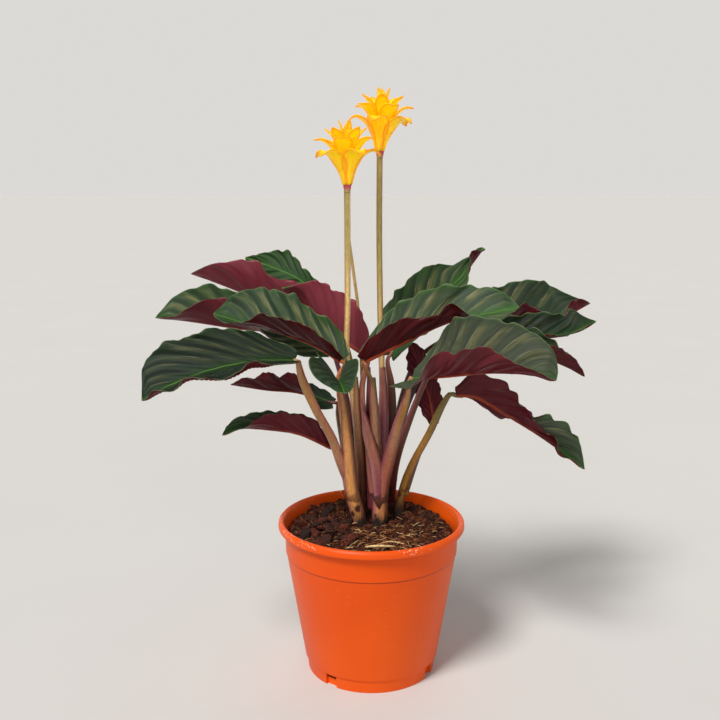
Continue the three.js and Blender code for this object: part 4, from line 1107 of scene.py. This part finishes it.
SOIL_GAP = 0.35
SOIL_RINGS = 60
SOIL_STEPS = 150
soil_edge = SHOULDER_RADIUS - WALL - SOIL_GAP
soil_section = [(0, floor_top + SOIL_GAP), (FOOT_RADIUS - WALL - 2 - SOIL_GAP, floor_top + SOIL_GAP),
                (soil_edge, SHOULDER_HEIGHT - 2), (soil_edge, SOIL_LEVEL - 3)]
soil_section += [((soil_edge - 1) * ring / SOIL_RINGS, SOIL_LEVEL)
                 for ring in range(SOIL_RINGS, -1, -1)]
soil_mesh = spun(soil_section, SOIL_STEPS)
for vert in soil_mesh.verts:
    if vert.co.z > SOIL_LEVEL - 1:
        x, y = vert.co.xy
        rough = 2.3 * noise.fractal(Vector((x, y, 3)) * 0.17, 0.9, 2.0, 6)
        vert.co.z = soil_height(x, y) + rough
soil = finish_piece("soil_body", soil_mesh, [peat.material])
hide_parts("soil")


# %% Colours and places of the litter
scatter = random.Random(41)
BARK_RED = rgb(104, 44, 26)
BARK_BROWN = rgb(74, 38, 24)
BARK_DARK = rgb(44, 24, 18)
CRUMB_RED = rgb(146, 74, 38)
FIBRE_BROWN = rgb(128, 76, 40)
FIBRE = rgb(190, 138, 80)
FIBRE_PALE = rgb(226, 196, 140)
BARK_END = Vector((-34, 2))
STRAW_BED = Vector((12, -22))
LITTER_REACH = 54
ABOVE = Vector((0, 0, 1))
print("the bark lies thickest at", tuple(BARK_END), "and the straw at", tuple(STRAW_BED))

# %% One lump, one fibre
def near(centre, spread):
    """A random place on the soil about a centre."""
    while True:
        x, y = (scatter.gauss(value, spread) for value in centre)
        if math.hypot(x, y) < LITTER_REACH:
            return Vector((x, y, soil_height(x, y)))


def scattered(most):
    """A random place anywhere on the soil."""
    radius = most * math.sqrt(scatter.random())
    angle = scatter.uniform(0, 2 * math.pi)
    x, y = radius * math.cos(angle), radius * math.sin(angle)
    return Vector((x, y, soil_height(x, y)))


def lay_lump(mesh, place, size, colour, jag, subdivisions):
    """Adds a rough lump of three half sizes, turned at random."""
    paint = mesh.verts.layers.float_color.get("tint") or mesh.verts.layers.float_color.new("tint")
    turned = Euler([scatter.uniform(-0.7, 0.7), scatter.uniform(-0.7, 0.7), scatter.uniform(0, 6.3)])
    matrix = Matrix.Translation(place) @ turned.to_matrix().to_4x4() @ Matrix.Diagonal((*size, 1))
    lump = bmesh.ops.create_icosphere(mesh, subdivisions=subdivisions, radius=1, matrix=matrix)["verts"]
    for vert in lump:
        vert.co = place + (vert.co - place) * (1 + scatter.uniform(-jag, jag))
        vert[paint] = colour


def lay_fibre(mesh, place, length, thickness, colour):
    """Adds a thin curved fibre that lies on the soil."""
    heading = scatter.uniform(0, 2 * math.pi)
    ahead = Vector((math.cos(heading), math.sin(heading), scatter.uniform(-0.1, 0.4)))
    aside = Vector((-ahead.y, ahead.x, 0)) * scatter.uniform(-0.25, 0.25) * length
    middle = place + aside * 0.6 + Vector((0, 0, 0.6))
    path = [place - ahead * length / 2, middle, place + ahead * length / 2]
    radii = [thickness * 0.7, thickness, thickness * 0.4]
    lay_stalk(mesh, path, radii, [colour, colour], sides=4, rings=5)


print("the soil under the bark is", round(soil_height(*BARK_END), 1), "mm above the floor")

# %% Lay the litter
litter_mesh = bmesh.new()
straw_mesh = bmesh.new()


def strew_lumps(count, place, sizes, breadths, heights, colours, jag, subdivisions):
    """Lays this many lumps, with shares of their size as breadth and height."""
    for _ in range(count):
        size = scatter.uniform(*sizes)
        half_sizes = (size, size * scatter.uniform(*breadths), size * scatter.uniform(*heights))
        lay_lump(litter_mesh, place(), half_sizes, scatter.choice(colours), jag, subdivisions)


def strew_fibres(count, place, thicknesses, colours):
    """Lays this many fibres, a little above the soil."""
    for _ in range(count):
        lay_fibre(straw_mesh, place() + ABOVE, scatter.uniform(3, 8), scatter.uniform(*thicknesses),
                  scatter.choice(colours))


strew_lumps(46, lambda: near(BARK_END, 17), (3.5, 7.5), (0.45, 0.75), (0.25, 0.4),
            (BARK_RED, BARK_BROWN, BARK_DARK), 0.2, 2)
strew_lumps(60, lambda: scattered(53), (2, 4), (0.45, 0.8), (0.25, 0.45),
            (BARK_RED, BARK_BROWN), 0.2, 2)
strew_lumps(1100, lambda: scattered(56), (0.5, 1.7), (0.6, 1), (0.5, 1),
            (BARK_DARK, BARK_BROWN, BARK_RED, CRUMB_RED), 0.25, 1)
finish_piece("bark_litter", litter_mesh, [bark.material], smooth_faces=False)

strew_fibres(380, lambda: near(STRAW_BED, 19), (0.1, 0.26),
             (FIBRE, FIBRE_BROWN, FIBRE_BROWN, CRUMB_RED, FIBRE_PALE))
strew_fibres(260, lambda: scattered(LITTER_REACH), (0.1, 0.22), (FIBRE_BROWN, FIBRE_BROWN, FIBRE))
# Two thin sticks lie on the straw.
lay_stalk(straw_mesh, [(-4, -38, 101.8), (5, -39, 102.8), (16, -37.6, 102)], [0.5, 0.9, 0.8, 0.4],
          [FIBRE_PALE, FIBRE_PALE], sides=10, rings=14, ridges=0.08)
lay_stalk(straw_mesh, [(4, -34, 102), (12, -32, 103.2), (22, -33.6, 102.4)], [0.3, 0.5, 0.3],
          [FIBRE, FIBRE_PALE], sides=8, rings=14, ridges=0.08)
finish_piece("straw_litter", straw_mesh, [straw.material])
